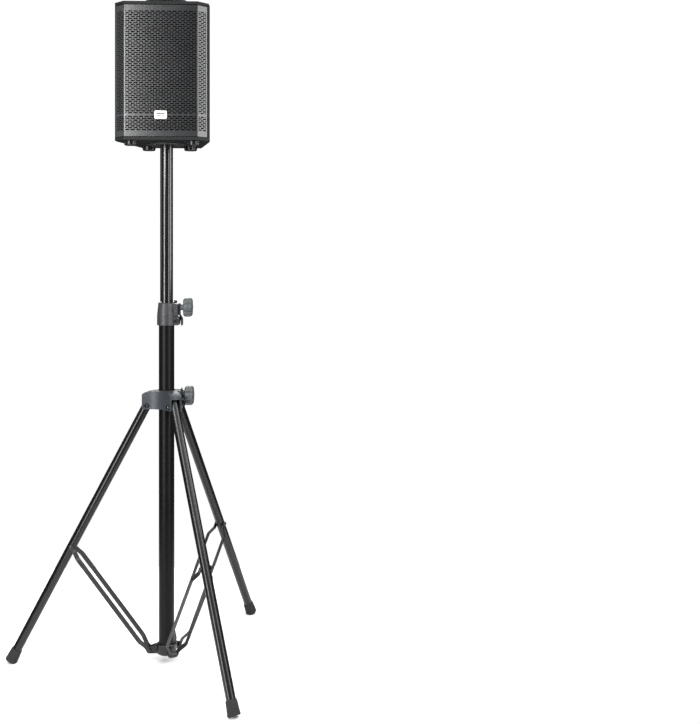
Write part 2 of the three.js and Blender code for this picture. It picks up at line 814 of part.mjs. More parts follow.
// The shell is open at the front, with a lip along its top and bottom that frames the grille.
function makeCabinetShell() {
  const outline = cabinetOutline();
  const { height, plate, lip, wall } = cabinet;
  const shell = raised(shapeOf(outline), 0, height);
  const cavity = raised(shapeOf(inset(outline, wall)), plate, height - plate);
  const opening = block(
    [-cabinet.halfWidth - 5, cabinet.halfWidth + 5],
    [cabinet.front - 5, cabinet.front + baffle.setBack],
    [lip, height - lip],
  );
  const front = block(
    [-cabinet.halfWidth + wall, cabinet.halfWidth - wall],
    [cabinet.front + 5, cabinet.sideCorner],
    [plate, height - plate],
  );
  const { halfWidth, halfHeight, centre } = connectorPlate;
  const panelHole = block(
    [-halfWidth + 8, halfWidth - 8],
    [cabinet.rear - wall - 5, cabinet.rear + 5],
    [centre - halfHeight + 8, centre + halfHeight - 8],
  );
  const poleHole = rod('z', socketRadius() + fit, -5, plate + 5, [0, 0], tubeSides);
  return cut(shell, cavity, front, opening, panelHole, poleHole);
}

function socketRadius() {
  return upperTube.radius + poleSocket.play + poleSocket.wall;
}

function makeBaffle() {
  const half = cabinet.halfWidth - cabinet.wall - fit;
  const low = cabinet.plate + fit;
  const high = cabinet.height - cabinet.plate - fit;
  const back = baffleFront + baffle.thickness;
  return cut(
    block([-half, half], [baffleFront, back], [low, high]),
    rod('y', wooferHole(), baffleFront - 5, back + 5, [0, wooferCentre], 32),
    sideways(roundedMouth(6), baffleFront - 5, back + 5),
  );
}

function wooferHole() {
  return woofer.flangeRadius - 8;
}

// The rounded rectangle of the horn's mouth in X and Z, grown on each side by the margin.
function roundedMouth(margin) {
  return roundedRectangle(horn.mouthHalfWidth + margin, horn.mouthHalfHeight + margin, 16, 0, horn.centre);
}

function roundedRectangle(halfWidth, halfHeight, corner, x = 0, y = 0) {
  const [left, right] = [x - halfWidth, x + halfWidth];
  const [low, high] = [y - halfHeight, y + halfHeight];
  const quarter = Math.PI / 2;
  const shape = new THREE.Shape();
  shape.moveTo(left + corner, low);
  shape.lineTo(right - corner, low);
  shape.absarc(right - corner, low + corner, corner, -quarter, 0, false);
  shape.lineTo(right, high - corner);
  shape.absarc(right - corner, high - corner, corner, 0, quarter, false);
  shape.lineTo(left + corner, high);
  shape.absarc(left + corner, high - corner, corner, quarter, 2 * quarter, false);
  shape.lineTo(left, low + corner);
  shape.absarc(left + corner, low + corner, corner, 2 * quarter, 3 * quarter, false);
  return shape;
}

// ---------------------------------------------------------------- grille

// The sheet is folded to follow the chamfered front, and its slots run in staggered rows on all three faces.
function makeGrille() {
  const outerFold = inset(cabinetOutline(), grille.setBack)[1];
  const innerFold = inset(cabinetOutline(), grille.setBack + grille.thickness)[1];
  const along = grille.stripWidth * Math.SQRT1_2;
  const skin = grille.thickness * Math.SQRT1_2;
  const end = [outerFold[0] + along, outerFold[1] + along];
  const right = [outerFold, end, [end[0] - skin, end[1] + skin], innerFold];
  const left = right.map(([x, y]) => [-x, y]).reverse();
  const low = cabinet.lip + grille.edgeGap;
  const high = cabinet.height - cabinet.lip - grille.edgeGap;
  const sheet = raised(shapeOf([...right, ...left]), low, high);
  return sheet.subtract(wasm.Manifold.union(grilleSlots(outerFold, low, high)));
}

function grilleSlots(corner, low, high) {
  const pitch = (2 * corner[0]) / grille.slotsAcross;
  const depth = 5;
  const slots = [];
  const bottom = low + grille.solidBand + grille.slotHeight / 2;
  const rows = Math.floor((high - low - 2 * grille.solidBand - grille.slotHeight) / grille.rowPitch) + 1;
  for (let row = 0; row < rows; row += 1) {
    const z = bottom + row * grille.rowPitch;
    const keepsClear = (grille.slotHeight + grille.stripeWidth) / 2;
    if (Math.abs(z - grille.stripeHeight) < keepsClear) continue;
    const even = row % 2 === 0;
    const count = even ? grille.slotsAcross : grille.slotsAcross - 1;
    const zSpan = [z - grille.slotHeight / 2, z + grille.slotHeight / 2];
    for (let i = 0; i < count; i += 1) {
      const x = (i - (count - 1) / 2) * pitch;
      const xSpan = [x - grille.slotLength / 2, x + grille.slotLength / 2];
      slots.push(block(xSpan, [corner[1] - depth, corner[1] + depth], zSpan));
    }
    const along = even ? grille.stripWidth * 0.62 : grille.stripWidth * 0.38;
    const sideSlot = block([along - grille.slotLength / 2, along + grille.slotLength / 2], [-depth, depth], zSpan);
    const onRight = sideSlot.rotate([0, 0, 45]).translate([corner[0], corner[1], 0]);
    slots.push(onRight, onRight.mirror([1, 0, 0]));
  }
  return slots;
}

function makeBadge() {
  const face = cabinet.front + grille.setBack - fit;
  const shape = roundedRectangle(badge.width / 2, badge.height / 2, badge.corner, 0, grille.stripeHeight);
  return sideways(shape, face - badge.thickness, face, 0, 3);
}

// ---------------------------------------------------------------- drivers

// The woofer's pieces are turned about Z with +Z to the front; their group lays that axis along -Y.
function makeBasket() {
  const { flangeRadius, flangeThickness, frameDepth } = woofer;
  const neck = woofer.coilRadius + 14;
  const basket = turned(
    [
      [woofer.coneRadius + 12, fit + flangeThickness],
      [flangeRadius, fit + flangeThickness],
      [flangeRadius, fit],
      [wooferHole() - 1, fit],
      [neck + 20, -frameDepth + 14],
      [neck, -frameDepth],
      [woofer.coilRadius + 4, -frameDepth],
      [woofer.coilRadius + 4, -frameDepth + 3],
      [neck - 2, -frameDepth + 3],
      [neck + 17, -frameDepth + 16],
    ],
    24,
  );
  const window = new THREE.Shape();
  window.moveTo(neck + 4, -13);
  window.lineTo(wooferHole() - 6, -30);
  window.lineTo(wooferHole() - 6, 30);
  window.lineTo(neck + 4, 13);
  let made = basket;
  for (let i = 0; i < 6; i += 1) {
    made = made.subtract(turnedAbout(raised(window, -frameDepth - 5, -12), i * 60));
  }
  return made;
}

// A half-roll of rubber, glued to the basket's rim, that the cone moves in.
function makeSurround() {
  const base = 2 * fit + woofer.flangeThickness;
  const inner = woofer.coneRadius + woofer.rollGap;
  const outer = inner + woofer.rollWidth;
  const rollRadius = (outer - inner) / 2;
  const middle = (inner + outer) / 2;
  const roll = (radius, from, to) => {
    const points = [];
    for (let i = 0; i <= 4; i += 1) {
      const angle = from + ((to - from) * i) / 4;
      points.push([middle + radius * Math.cos(angle), base + radius * Math.sin(angle)]);
    }
    return points;
  };
  const rim = [outer + 8, base];
  return turned([...roll(rollRadius, Math.PI, 0.12), [rim[0], base + 1], rim, ...roll(rollRadius - 1.2, 0, Math.PI)], 20);
}

// Height of the cone's front face at a radius: straight from the voice coil to the surround.
function coneFace(radius) {
  const rim = fit + woofer.flangeThickness;
  const neck = rim - woofer.coneDepth;
  const share = (radius - woofer.coilRadius) / (woofer.coneRadius - woofer.coilRadius);
  return neck + (rim - neck) * share ** 0.85;
}

// The cone and the voice coil's former, which reaches into the magnet's gap.
function makeCone() {
  const { coilRadius, coneRadius, paper, formerLength } = woofer;
  const middle = (coilRadius + coneRadius) / 2;
  const back = 1.8 * paper;
  return turned(
    [
      [coilRadius - paper / 2, coneFace(coilRadius) - formerLength],
      [coilRadius + paper / 2, coneFace(coilRadius) - formerLength],
      [coilRadius + paper / 2, coneFace(coilRadius) - back],
      [middle, coneFace(middle) - back],
      [coneRadius, coneFace(coneRadius) - back],
      [coneRadius, coneFace(coneRadius)],
      [middle, coneFace(middle)],
      [coilRadius - paper / 2, coneFace(coilRadius)],
    ],
    20,
  );
}

function makeDustCap() {
  const radius = woofer.coilRadius + 7;
  const seat = coneFace(radius) + fit;
  const steps = 4;
  const outer = [];
  for (let i = 0; i <= steps; i += 1) {
    const angle = (i / steps) * (Math.PI / 2);
    outer.push([i === steps ? 0 : radius * Math.cos(angle), seat + woofer.capRise * Math.sin(angle)]);
  }
  const inner = outer.map(([r, z]) => [Math.max(r - woofer.paper, 0), Math.max(z - woofer.paper, seat)]);
  return turned([...inner.reverse(), ...outer], 20);
}

function makeMagnet() {
  const top = -woofer.frameDepth - fit;
  const bottom = top - woofer.magnetDepth;
  const coil = woofer.coilRadius;
  return turned(
    [
      [0, bottom],
      [woofer.magnetRadius - 3, bottom],
      [woofer.magnetRadius, bottom + 3],
      [woofer.magnetRadius, top - 6],
      [woofer.magnetRadius - 6, top - 6],
      [woofer.magnetRadius - 6, top],
      [coil + 2, top],
      [coil + 2, bottom + 8],
      [coil - 2, bottom + 8],
      [coil - 2, top],
      [0, top],
    ],
    20,
  );
}

// One ring of the horn's flare: a rounded rectangle at the mouth that turns into the round throat.
function hornRing(share, grow) {
  const flare = share ** 2.2;
  const halfWidth = horn.throatRadius + (horn.mouthHalfWidth - horn.throatRadius) * flare + grow;
  const halfHeight = horn.throatRadius + (horn.mouthHalfHeight - horn.throatRadius) * share ** 1.5 + grow;
  const power = 2 / (2 + 6 * share);
  const ring = [];
  const count = 20;
  for (let i = 0; i < count; i += 1) {
    const angle = (i / count) * 2 * Math.PI;
    const [c, s] = [Math.cos(angle), Math.sin(angle)];
    ring.push([
      halfWidth * Math.sign(c) * Math.abs(c) ** power,
      halfHeight * Math.sign(s) * Math.abs(s) ** power,
      -horn.depth * (1 - share),
    ]);
  }
  return ring;
}

// A closed skin over rings that have the same number of points, with flat ends.
function loft(rings) {
  const count = rings[0].length;
  const vertices = rings.flat(2);
  const faces = [];
  for (let r = 0; r + 1 < rings.length; r += 1) {
    for (let i = 0; i < count; i += 1) {
      const a = r * count + i;
      const b = r * count + ((i + 1) % count);
      faces.push(a, b, b + count, a, b + count, a + count);
    }
  }
  const last = (rings.length - 1) * count;
  for (let i = 1; i + 1 < count; i += 1) {
    faces.push(0, i + 1, i, last, last + i, last + i + 1);
  }
  const geometry = new THREE.BufferGeometry();
  geometry.setAttribute('position', new THREE.Float32BufferAttribute(vertices, 3));
  geometry.setIndex(faces);
  return solid(geometry);
}

function makeHorn() {
  const shares = [0, 0.25, 0.5, 0.75, 1];
  const outside = loft(shares.map((share) => hornRing(share, horn.wall)));
  const inside = loft([-0.1, ...shares, 1.1].map((share) => extendedRing(share)));
  const flangeShape = roundedRectangle(horn.mouthHalfWidth + 12, horn.mouthHalfHeight + 9, 18);
  const flange = raised(flangeShape, fit, fit + horn.flange);
  const throatPlate = rod('z', driver.neckRadius, -horn.depth, -horn.depth + 4);
  return cut(join(outside.translate([0, 0, fit + 0.5]), flange, throatPlate.translate([0, 0, fit + 0.5])), inside);
}

// The flare's inside runs straight on past both ends, so that it opens them when it is cut away.
function extendedRing(share) {
  const clamped = Math.min(Math.max(share, 0), 1);
  const ring = hornRing(clamped, 0);
  const shift = (share - clamped) * horn.depth;
  return ring.map(([x, y, z]) => [x, y, z + shift + fit + 0.5]);
}

function makeHornDriver() {
  const top = -horn.depth + 0.5;
  const { radius, depth, neckRadius, neckDepth } = driver;
  const profile = [
    [0, top - neckDepth - depth],
    [radius - 4, top - neckDepth - depth],
    [radius, top - neckDepth - depth + 4],
    [radius, top - neckDepth - 3],
    [radius - 3, top - neckDepth],
    [neckRadius, top - neckDepth],
    [neckRadius, top],
    [horn.throatRadius, top],
    [horn.throatRadius - 3, top - neckDepth + 1],
    [0, top - neckDepth + 1],
  ];
  return turned(profile, smallSides);
}

// ---------------------------------------------------------------- fittings of the cabinet

function makeCrossover() {
  const wallFace = cabinet.rear - cabinet.wall - fit;
  const { halfWidth, halfHeight, centre, stand, ledge } = crossover;
  const face = wallFace - stand;
  const board = block([-halfWidth, halfWidth], [face, wallFace], [centre - halfHeight, centre + halfHeight]);
  const relief = block(
    [-halfWidth + ledge, halfWidth - ledge],
    [face + 3, wallFace + 1],
    [centre - halfHeight + ledge, centre + halfHeight - ledge],
  );
  const coil = rod('y', 17, face - 18, face + 1, [-24, centre - 20]);
  const second = rod('y', 14, face - 14, face + 1, [25, centre - 15]);
  const capacitor = rod('x', 9, -40, 5, [face - 7, centre + 20]);
  const resistor = block([15, 44], [face - 10, face + 1], [centre + 12, centre + 26]);
  return cut(join(board, coil, second, capacitor, resistor), relief);
}

function makeConnectorPlate() {
  const { halfWidth, halfHeight, thickness, centre, dishDepth } = connectorPlate;
  const face = cabinet.rear + fit;
  const plate = sideways(roundedRectangle(halfWidth, halfHeight, 8, 0, centre), face, face + thickness, 0.8, 2);
  const dish = sideways(roundedRectangle(halfWidth - 9, halfHeight - 9, 5, 0, centre), face - dishDepth, face + 1, 0, 2);
  const hollow = sideways(
    roundedRectangle(halfWidth - 11, halfHeight - 11, 4, 0, centre),
    face - dishDepth + 2.5,
    face + thickness + 5,
    0,
    2,
  );
  const holes = [-1, 1].map((side) =>
    rod('y', socket.radius + fit, face - dishDepth - 5, face + 5, [(side * socket.spacing) / 2, centre]),
  );
  return cut(join(plate, dish), hollow, ...holes);
}

// A round twist-lock socket: a flange on the dish, a barrel behind it and a keyed ring inside.
function makeSocket() {
  const { radius, length } = socket;
  return turned(
    [
      [0, -length],
      [radius, -length],
      [radius, fit],
      [radius + 2.5, fit],
      [radius + 2.5, 2.5],
      [radius + 1.5, 3.5],
      [radius - 2, 3.5],
      [radius - 2, -length + 8],
      [radius - 5.5, -length + 8],
      [radius - 5.5, -1],
      [0, -1],
    ],
    12,
  );
}

// The cup takes the tube's end, and its flange is screwed under the cabinet.
function makePoleSocket() {
  const inner = upperTube.radius + poleSocket.play;
  const outer = inner + poleSocket.wall;
  const { depth, flangeRadius, flangeThickness } = poleSocket;
  const under = -fit - flangeThickness;
  return turned(
    [
      [0, depth],
      [inner, depth],
      [inner, under + 1],
      [inner + 1, under],
      [flangeRadius - 1.5, under],
      [flangeRadius, under + 1.5],
      [flangeRadius, -fit],
      [outer, -fit],
      [outer, depth + poleSocket.wall - 1],
      [outer - 1, depth + poleSocket.wall],
      [0, depth + poleSocket.wall],
    ],
    tubeSides,
  );
}

function makeCabinetFoot() {
  const { radius, height } = cabinetFoot;
  return turned(
    [
      [0, -fit],
      [radius, -fit],
      [radius - 2, -fit - height + 2],
      [radius - 4, -fit - height],
      [5, -fit - height],
      [0, -fit - height + 5],
    ],
    smallSides,
  );
}

function makeHandle() {
  const { halfLength, gripHalf, height, gripThickness, width } = handle;
  const under = height - gripThickness;
  const arch = new THREE.Shape();
  arch.moveTo(-halfLength, 0);
  arch.lineTo(-gripHalf, 0);
  arch.quadraticCurveTo(-gripHalf + 1, under - 2, -gripHalf + 12, under - 1);
  arch.quadraticCurveTo(0, under + 2, gripHalf - 12, under - 1);
  arch.quadraticCurveTo(gripHalf - 1, under - 2, gripHalf, 0);
  arch.lineTo(halfLength, 0);
  arch.quadraticCurveTo(halfLength - 4, height - 6, gripHalf - 8, height - 3);
  arch.quadraticCurveTo(0, height + 3, -gripHalf + 8, height - 3);
  arch.quadraticCurveTo(-halfLength + 4, height - 6, -halfLength, 0);
  return sideways(arch, -width / 2, width / 2, 2.5, 4).translate([0, 0, cabinet.height + fit]);
}

// ---------------------------------------------------------------- assembly

piece('lower_tube', makeLowerTube(), powderCoat, stand);
piece('tube_foot', makeTubeFoot(), nylon, stand);
piece('base_bracket', makeBaseBracket(), powderCoat, stand);
piece('clamp_ring', makeClampRing(), clampCasting, stand);
piece('clamp_body', makeClampBody(), clampCasting, stand);
piece('pinch_bolt', crossBolt(pinchBolt, heightClamp.lugWidth / 2, pinchBoltX(), pinchBoltHeight()), zinc, stand);

const heightStem = heightClamp.bossReach + 2 * fit + lever.thickness;
piece('height_pad', makePad(upperTube.radius, clampScrewHeight), nylon, stand);
piece('height_screw', makeScrew(upperTube.radius, heightStem, clampScrewHeight), zinc, stand);
piece('height_knob', makeKnob(heightStem, clampScrewHeight), knobPlastic, stand);
piece('catch_lever', makeLever(), blackPlastic, stand);

piece('upper_tube', makeUpperTube(), glossTube, stand);
piece('upper_tube_bush', makeUpperTubeBush(), nylon, stand);
piece('upper_tube_cap', makeTubeCap(), blackPlastic, stand);
piece('safety_pin', makeSafetyPin(), zinc, stand).rotation.z = safetyPin.azimuth * radians;

const legScrewHeight = legPivot.height + legCollar.screwAbove;
const legStem = legCollar.bossReach + 2 * fit + clampWasher.discThickness + clampWasher.neckLength - knob.stemLength;
piece('leg_collar', makeLegCollar(), collarCasting, stand);
piece('leg_collar_liner', makeCollarLiner(), nylon, stand);
piece('leg_pad', makePad(lowerTube.radius, legScrewHeight), nylon, stand);
piece('leg_washer', makeClampWasher(), blackPlastic, stand);

const braces = braceLayout();
const legPose = new THREE.Matrix4().makeRotationY(-spread).setPosition(legPivot.radius, 0, legPivot.height);
for (const [name, azimuth] of Object.entries(legAzimuths)) {
  const corner = new THREE.Group();
  corner.rotation.z = azimuth * radians;
  stand.add(corner);

  const boltAt = [legPivot.radius, legPivot.height];
  piece(`${name}_leg_bolt`, crossBolt(legBolt, legCollar.armHalfWidth, ...boltAt), zinc, corner);

  const leg = new THREE.Group();
  leg.position.set(legPivot.radius, 0, legPivot.height);
  leg.rotation.y = -spread;
  corner.add(leg);
  piece(`${name}_leg`, makeLeg(), powderCoat, leg);
  piece(`${name}_foot_cap`, makeFootCap(legPose), rubber, leg);
  piece(`${name}_brace_rivet`, makeBraceRivet(), zinc, leg);

  const pair = new THREE.Group();
  pair.position.set(braces.top[0], 0, braces.top[1]);
  pair.rotation.y = braces.slope;
  corner.add(pair);
  piece(`${name}_brace_a`, makeBraceBar(1, braces.length), barSteel, pair);
  piece(`${name}_brace_b`, makeBraceBar(-1, braces.length), barSteel, pair);
}

piece('leg_screw', makeScrew(lowerTube.radius, legStem, legScrewHeight), zinc, stand);
piece('leg_knob', makeLegKnob(), knobPlastic, stand);

// The knob on the leg collar starts at the washer's neck and needs no stem of its own.
function makeLegKnob() {
  const whole = makeKnob(legStem, legScrewHeight);
  return whole.subtract(rod('x', knob.stemRadius + 1, legStem - 5, legStem + knob.stemLength, [0, legScrewHeight]));
}

piece('cabinet_shell', makeCabinetShell(), structurePaint, speaker);
piece('front_baffle', makeBaffle(), plywood, speaker);
piece('front_grille', makeGrille(), grilleSteel, speaker);
piece('grille_badge', makeBadge(), badgeWhite, speaker);

const wooferGroup = new THREE.Group();
wooferGroup.position.set(0, baffleFront, wooferCentre);
wooferGroup.rotation.x = Math.PI / 2;
speaker.add(wooferGroup);
piece('woofer_basket', makeBasket(), darkSteel, wooferGroup);
piece('woofer_surround', makeSurround(), rubber, wooferGroup);
piece('woofer_cone', makeCone(), paperCone, wooferGroup);
piece('woofer_dust_cap', makeDustCap(), paperCone, wooferGroup);
piece('woofer_magnet', makeMagnet(), darkSteel, wooferGroup);

const hornGroup = new THREE.Group();
hornGroup.position.set(0, baffleFront, horn.centre);
hornGroup.rotation.x = Math.PI / 2;
speaker.add(hornGroup);
piece('horn_flare', makeHorn(), blackPlastic, hornGroup);
piece('horn_driver', makeHornDriver(), darkSteel, hornGroup);

piece('crossover_board', makeCrossover(), boardGreen, speaker);
piece('connector_plate', makeConnectorPlate(), blackPlastic, speaker);
for (const [name, side] of [['input_socket', -1], ['link_socket', 1]]) {
  const place = new THREE.Group();
  const dishFace = cabinet.rear + fit - connectorPlate.dishDepth + 2.5;
  place.position.set((side * socket.spacing) / 2, dishFace, connectorPlate.centre);
  place.rotation.x = -Math.PI / 2;
  speaker.add(place);
  piece(name, makeSocket(), blackPlastic, place);
}

piece('pole_socket', makePoleSocket(), darkSteel, speaker);
piece('carry_handle', makeHandle(), blackPlastic, speaker);
for (const [name, [x, y]] of Object.entries({ front: cabinetFoot.front, rear: cabinetFoot.rear })) {
  for (const [side, sign] of [['left', -1], ['right', 1]]) {
    piece(`cabinet_foot_${name}_${side}`, makeCabinetFoot(), rubber, speaker).position.set(sign * x, y, 0);
  }
}

export default speakerOnStand;
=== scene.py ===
"""Detailed pieces and finishes for a loudspeaker cabinet on a telescopic tripod stand.

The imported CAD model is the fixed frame. Every place below comes from its nodes and joints, in
metres, and sizes written in millimetres are turned to metres by MM.
"""

import json
import math

import bmesh
import bpy
from bpy.props import FloatProperty, FloatVectorProperty, IntProperty, PointerProperty
from bpy.types import Operator, Panel, PropertyGroup
from mathutils import Matrix, Vector


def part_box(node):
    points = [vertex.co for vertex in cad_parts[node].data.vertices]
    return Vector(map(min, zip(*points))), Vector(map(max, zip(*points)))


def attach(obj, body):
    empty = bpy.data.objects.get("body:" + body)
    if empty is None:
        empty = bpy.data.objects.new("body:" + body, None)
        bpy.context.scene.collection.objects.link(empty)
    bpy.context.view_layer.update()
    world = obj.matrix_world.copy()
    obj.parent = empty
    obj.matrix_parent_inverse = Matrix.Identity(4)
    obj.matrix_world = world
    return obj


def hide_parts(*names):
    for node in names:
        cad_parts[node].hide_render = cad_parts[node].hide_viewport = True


bl_info = {
    "name": "Speaker on a tripod stand",
    "version": (1, 0, 0),
    "blender": (4, 5, 0),
    "location": "3D View > Sidebar > Speaker stand",
    "description": "Builds the detailed pieces and finishes of a loudspeaker on its folding stand",
    "category": "Object",
}

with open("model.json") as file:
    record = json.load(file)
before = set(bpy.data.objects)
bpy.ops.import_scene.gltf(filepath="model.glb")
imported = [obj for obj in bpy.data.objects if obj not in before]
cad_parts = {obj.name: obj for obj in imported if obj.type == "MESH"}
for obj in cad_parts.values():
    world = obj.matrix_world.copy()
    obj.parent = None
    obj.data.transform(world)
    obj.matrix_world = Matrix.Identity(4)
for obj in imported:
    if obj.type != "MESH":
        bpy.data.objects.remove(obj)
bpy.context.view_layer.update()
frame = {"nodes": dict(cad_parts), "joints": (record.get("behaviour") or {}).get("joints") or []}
NODES = frame["nodes"]
JOINTS = {joint["name"]: joint for joint in frame["joints"]}
MM = 0.001
LEG_AZIMUTHS = {"left": 180.0, "front": -60.0, "back": 60.0}

# sizes of the stand in millimetres, the same as the CAD nodes have
PIN_HOLES, PIN_HOLE_SPACING = 4, 70
LEG_RADIUS, LEG_WALL, LEG_ABOVE_PIVOT = 12.5, 1.5, 14
FOOT_RADIUS, FOOT_SOLE, FOOT_TRIM = 16.5, 7, 2.5  # the trim is cut off flat by the floor
ARM_HALF_WIDTH, BOLT_CLEARANCE = 17, 0.3
KNOB_DEPTH = 24.7
BRACE_THICKNESS, BRACE_HALF_WIDTH = 3, 6.0
BRACKET_REACH, BRACKET_HEIGHT = 46, 31  # lower brace pivots, from the axis and the floor

# sizes of the cabinet in millimetres
GRILLE_SIDE_STRIP = 33.0
GRILLE_SOLID_BANDS = 28.0  # the plain bands above and below the slots, together
STRIPE_HEIGHT = 66.0  # from the cabinet's base
FOAM_SIDE_STRIP, FOAM_THICKNESS, FOAM_GAP = 30.0, 4.0, 0.4
PLATE_SCREWS_X, PLATE_SCREWS_Z = 54, 37
FLANGE_SCREW_CIRCLE = 40

UP = Vector((0.0, 0.0, 1.0))


def middle_of(node):
    """The centre of a CAD node's box."""
    low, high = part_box(node)
    return (low + high) / 2


COLUMN = Vector((middle_of("lower_tube").x, 0.0, 0.0))
CABINET_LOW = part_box("cabinet_shell")[0]
CABINET_BASE = Vector((COLUMN.x, 0.0, CABINET_LOW.z))


# ---------------------------------------------------------------- colours and settings


def linear(hex_colour):
    """An sRGB hex colour as the linear RGBA that shaders take."""
    channels = [int(hex_colour[i : i + 2], 16) / 255 for i in (0, 2, 4)]
    decoded = [c / 12.92 if c <= 0.04045 else ((c + 0.055) / 1.055) ** 2.4 for c in channels]
    return (*decoded, 1.0)


def colour(name, about, hex_colour):
    kept = {"subtype": "COLOR", "size": 4, "min": 0.0, "max": 1.0}
    return FloatVectorProperty(name=name, description=about, default=linear(hex_colour), **kept)


def length(name, about, millimetres):
    kept = {"subtype": "DISTANCE", "unit": "LENGTH", "min": 0.0}
    return FloatProperty(name=name, description=about, default=millimetres * MM, **kept)


class StandSettings(PropertyGroup):
    """Sizes and colours of the stand."""

    tube_sides: IntProperty(name="Tube sides", description="Facets of a tube", default=64, min=16)
    knob_radius: length("Knob radius", "To the top of a lobe", 27.2)
    knob_valley: length("Knob valley", "Depth of the valleys between two lobes", 4.4)
    rivet_dome: length("Rivet dome", "Height of the domed rivet heads", 2.4)
    tube_black: colour("Powder coat", "Satin coat of the legs and the lower tube", "0b0b0c")
    enamel_black: colour("Enamel", "Glossy coat of the sliding tube", "111112")
    clamp_grey: colour("Clamp grey", "Paint of the height clamp", "38383b")
    collar_grey: colour("Collar grey", "Paint of the leg collar", "373b40")
    knob_grey: colour("Knob grey", "Moulded nylon of both knobs", "45494b")


class CabinetSettings(PropertyGroup):
    """Sizes and colours of the loudspeaker."""

    slot_pitch: length("Slot pitch", "From slot to slot along a row", 14.55)
    row_pitch: length("Row pitch", "From row to row", 4.95)
    slot_height: length("Slot height", "Clear height of a slot", 3.4)
    slot_web: length("Web", "Metal left between two slots of a row", 3.1)
    fold_reach: length("Fold reach", "Flat width taken up on each side of a fold", 1.6)
    sheet_thickness: length("Sheet", "Thickness of the grille's steel", 1.5)
    paint_black: colour("Structure paint", "Grained paint on the plywood shell", "121314")
    grille_black: colour("Grille coat", "Powder coat of the perforated grille", "1c1d1f")
    badge_white: colour("Badge white", "Enamelled plate on the grille", "d8d8d6")


def stand_settings():
    return bpy.context.scene.stand_settings


def cabinet_settings():
    return bpy.context.scene.cabinet_settings


# ---------------------------------------------------------------- materials


def add_node(tree, kind, inputs=None, **settings):
    """Adds one node, with its settings and with a value or a link for each named input."""
    node = tree.nodes.new(kind)
    for name, value in settings.items():
        setattr(node, name, value)
    for name, value in (inputs or {}).items():
        if isinstance(value, bpy.types.NodeSocket):
            tree.links.new(value, node.inputs[name])
        else:
            node.inputs[name].default_value = value
    return node


class Finish:
    """A material being made: one principled shader, and patterns in the object's space."""

    def __init__(self, name, base, roughness, metallic=0.0, specular=0.5):
        self.material = bpy.data.materials.new(name)
        self.material.use_nodes = True
        self.tree = self.material.node_tree
        self.base = base
        self.shader = self.tree.nodes["Principled BSDF"]
        self.shader.inputs["Base Color"].default_value = base
        self.shader.inputs["Roughness"].default_value = roughness
        self.shader.inputs["Metallic"].default_value = metallic
        self.shader.inputs["Specular IOR Level"].default_value = specular
        self.place = add_node(self.tree, "ShaderNodeTexCoord").outputs["Object"]

    def grain(self, size_mm, detail=2.0, stretch=(1.0, 1.0, 1.0)):
        """Noise whose blobs are about as big as the size, stretched by the given shares."""
        spread = add_node(self.tree, "ShaderNodeMapping", {"Vector": self.place, "Scale": stretch})
        inputs = {"Vector": spread.outputs["Vector"], "Scale": 1 / (size_mm * MM), "Detail": detail}
        return add_node(self.tree, "ShaderNodeTexNoise", inputs).outputs["Fac"]

    def cells(self, size_mm, feature="F1"):
        """Distance to the middle of the nearest cell, for cells of the given size."""
        inputs = {"Vector": self.place, "Scale": 1 / (size_mm * MM)}
        voronoi = add_node(self.tree, "ShaderNodeTexVoronoi", inputs, feature=feature)
        return voronoi.outputs["Distance"]

    def vary_colour(self, pattern, dark, light):
        """Runs the base colour from a dark share of it to a light one with a pattern's value."""
        ramp = add_node(self.tree, "ShaderNodeValToRGB", {"Fac": pattern})
        for stop, position, factor in zip(ramp.color_ramp.elements, (0.3, 0.7), (dark, light)):
            stop.position = position
            stop.color = (*[min(1.0, channel * factor) for channel in self.base[:3]], 1.0)
        self.tree.links.new(ramp.outputs["Color"], self.shader.inputs["Base Color"])

    def vary_roughness(self, pattern, low, high):
        inputs = {"Value": pattern, "To Min": low, "To Max": high}
        spread = add_node(self.tree, "ShaderNodeMapRange", inputs)
        self.tree.links.new(spread.outputs["Result"], self.shader.inputs["Roughness"])

    def relief(self, pattern, depth_mm, strength=1.0):
        inputs = {"Height": pattern, "Distance": depth_mm * MM, "Strength": strength}
        bump = add_node(self.tree, "ShaderNodeBump", inputs)
        self.tree.links.new(bump.outputs["Normal"], self.shader.inputs["Normal"])


def powder_coat(name, base, roughness, specular, peel_mm=0.8):
    """Polyester powder, sprayed and baked: an even satin black with a faint orange peel."""
    coat = Finish(name, base, roughness, specular=specular)
    coat.vary_colour(coat.grain(35), 0.85, 1.2)
    coat.vary_roughness(coat.grain(45, 2), roughness - 0.02, roughness + 0.03)
    coat.relief(coat.grain(peel_mm), 0.02, 0.3)
    return coat.material


def stove_enamel(name, base):
    """Enamelled steel tube, polished by sliding in its bush: long soft scuffs run down it."""
    enamel = Finish(name, base, 0.18, specular=0.6)
    scuffs = enamel.grain(5, 2, (1.0, 1.0, 0.02))
    enamel.vary_colour(scuffs, 0.9, 1.2)
    enamel.vary_roughness(scuffs, 0.17, 0.19)
    enamel.relief(scuffs, 0.01, 0.15)
    return enamel.material


def painted_casting(name, base, roughness):
    """Die-cast aluminium under a thin coat of paint: the cast grain shows as a soft mottle."""
    casting = Finish(name, base, roughness, metallic=0.25)
    mottle = casting.grain(6, 4)
    casting.vary_colour(mottle, 0.82, 1.12)
    casting.vary_roughness(mottle, roughness - 0.06, roughness + 0.08)
    casting.relief(casting.grain(0.9, 3), 0.12, 0.6)
    return casting.material


def filled_nylon(name, base):
    """Glass-filled nylon, moulded: dull grey with pale flow streaks and a fine eroded skin."""
    nylon = Finish(name, base, 0.46)
    nylon.vary_colour(nylon.grain(9, 4, (1.0, 0.35, 1.0)), 0.86, 1.1)
    nylon.relief(nylon.grain(0.6), 0.06, 0.6)
    return nylon.material


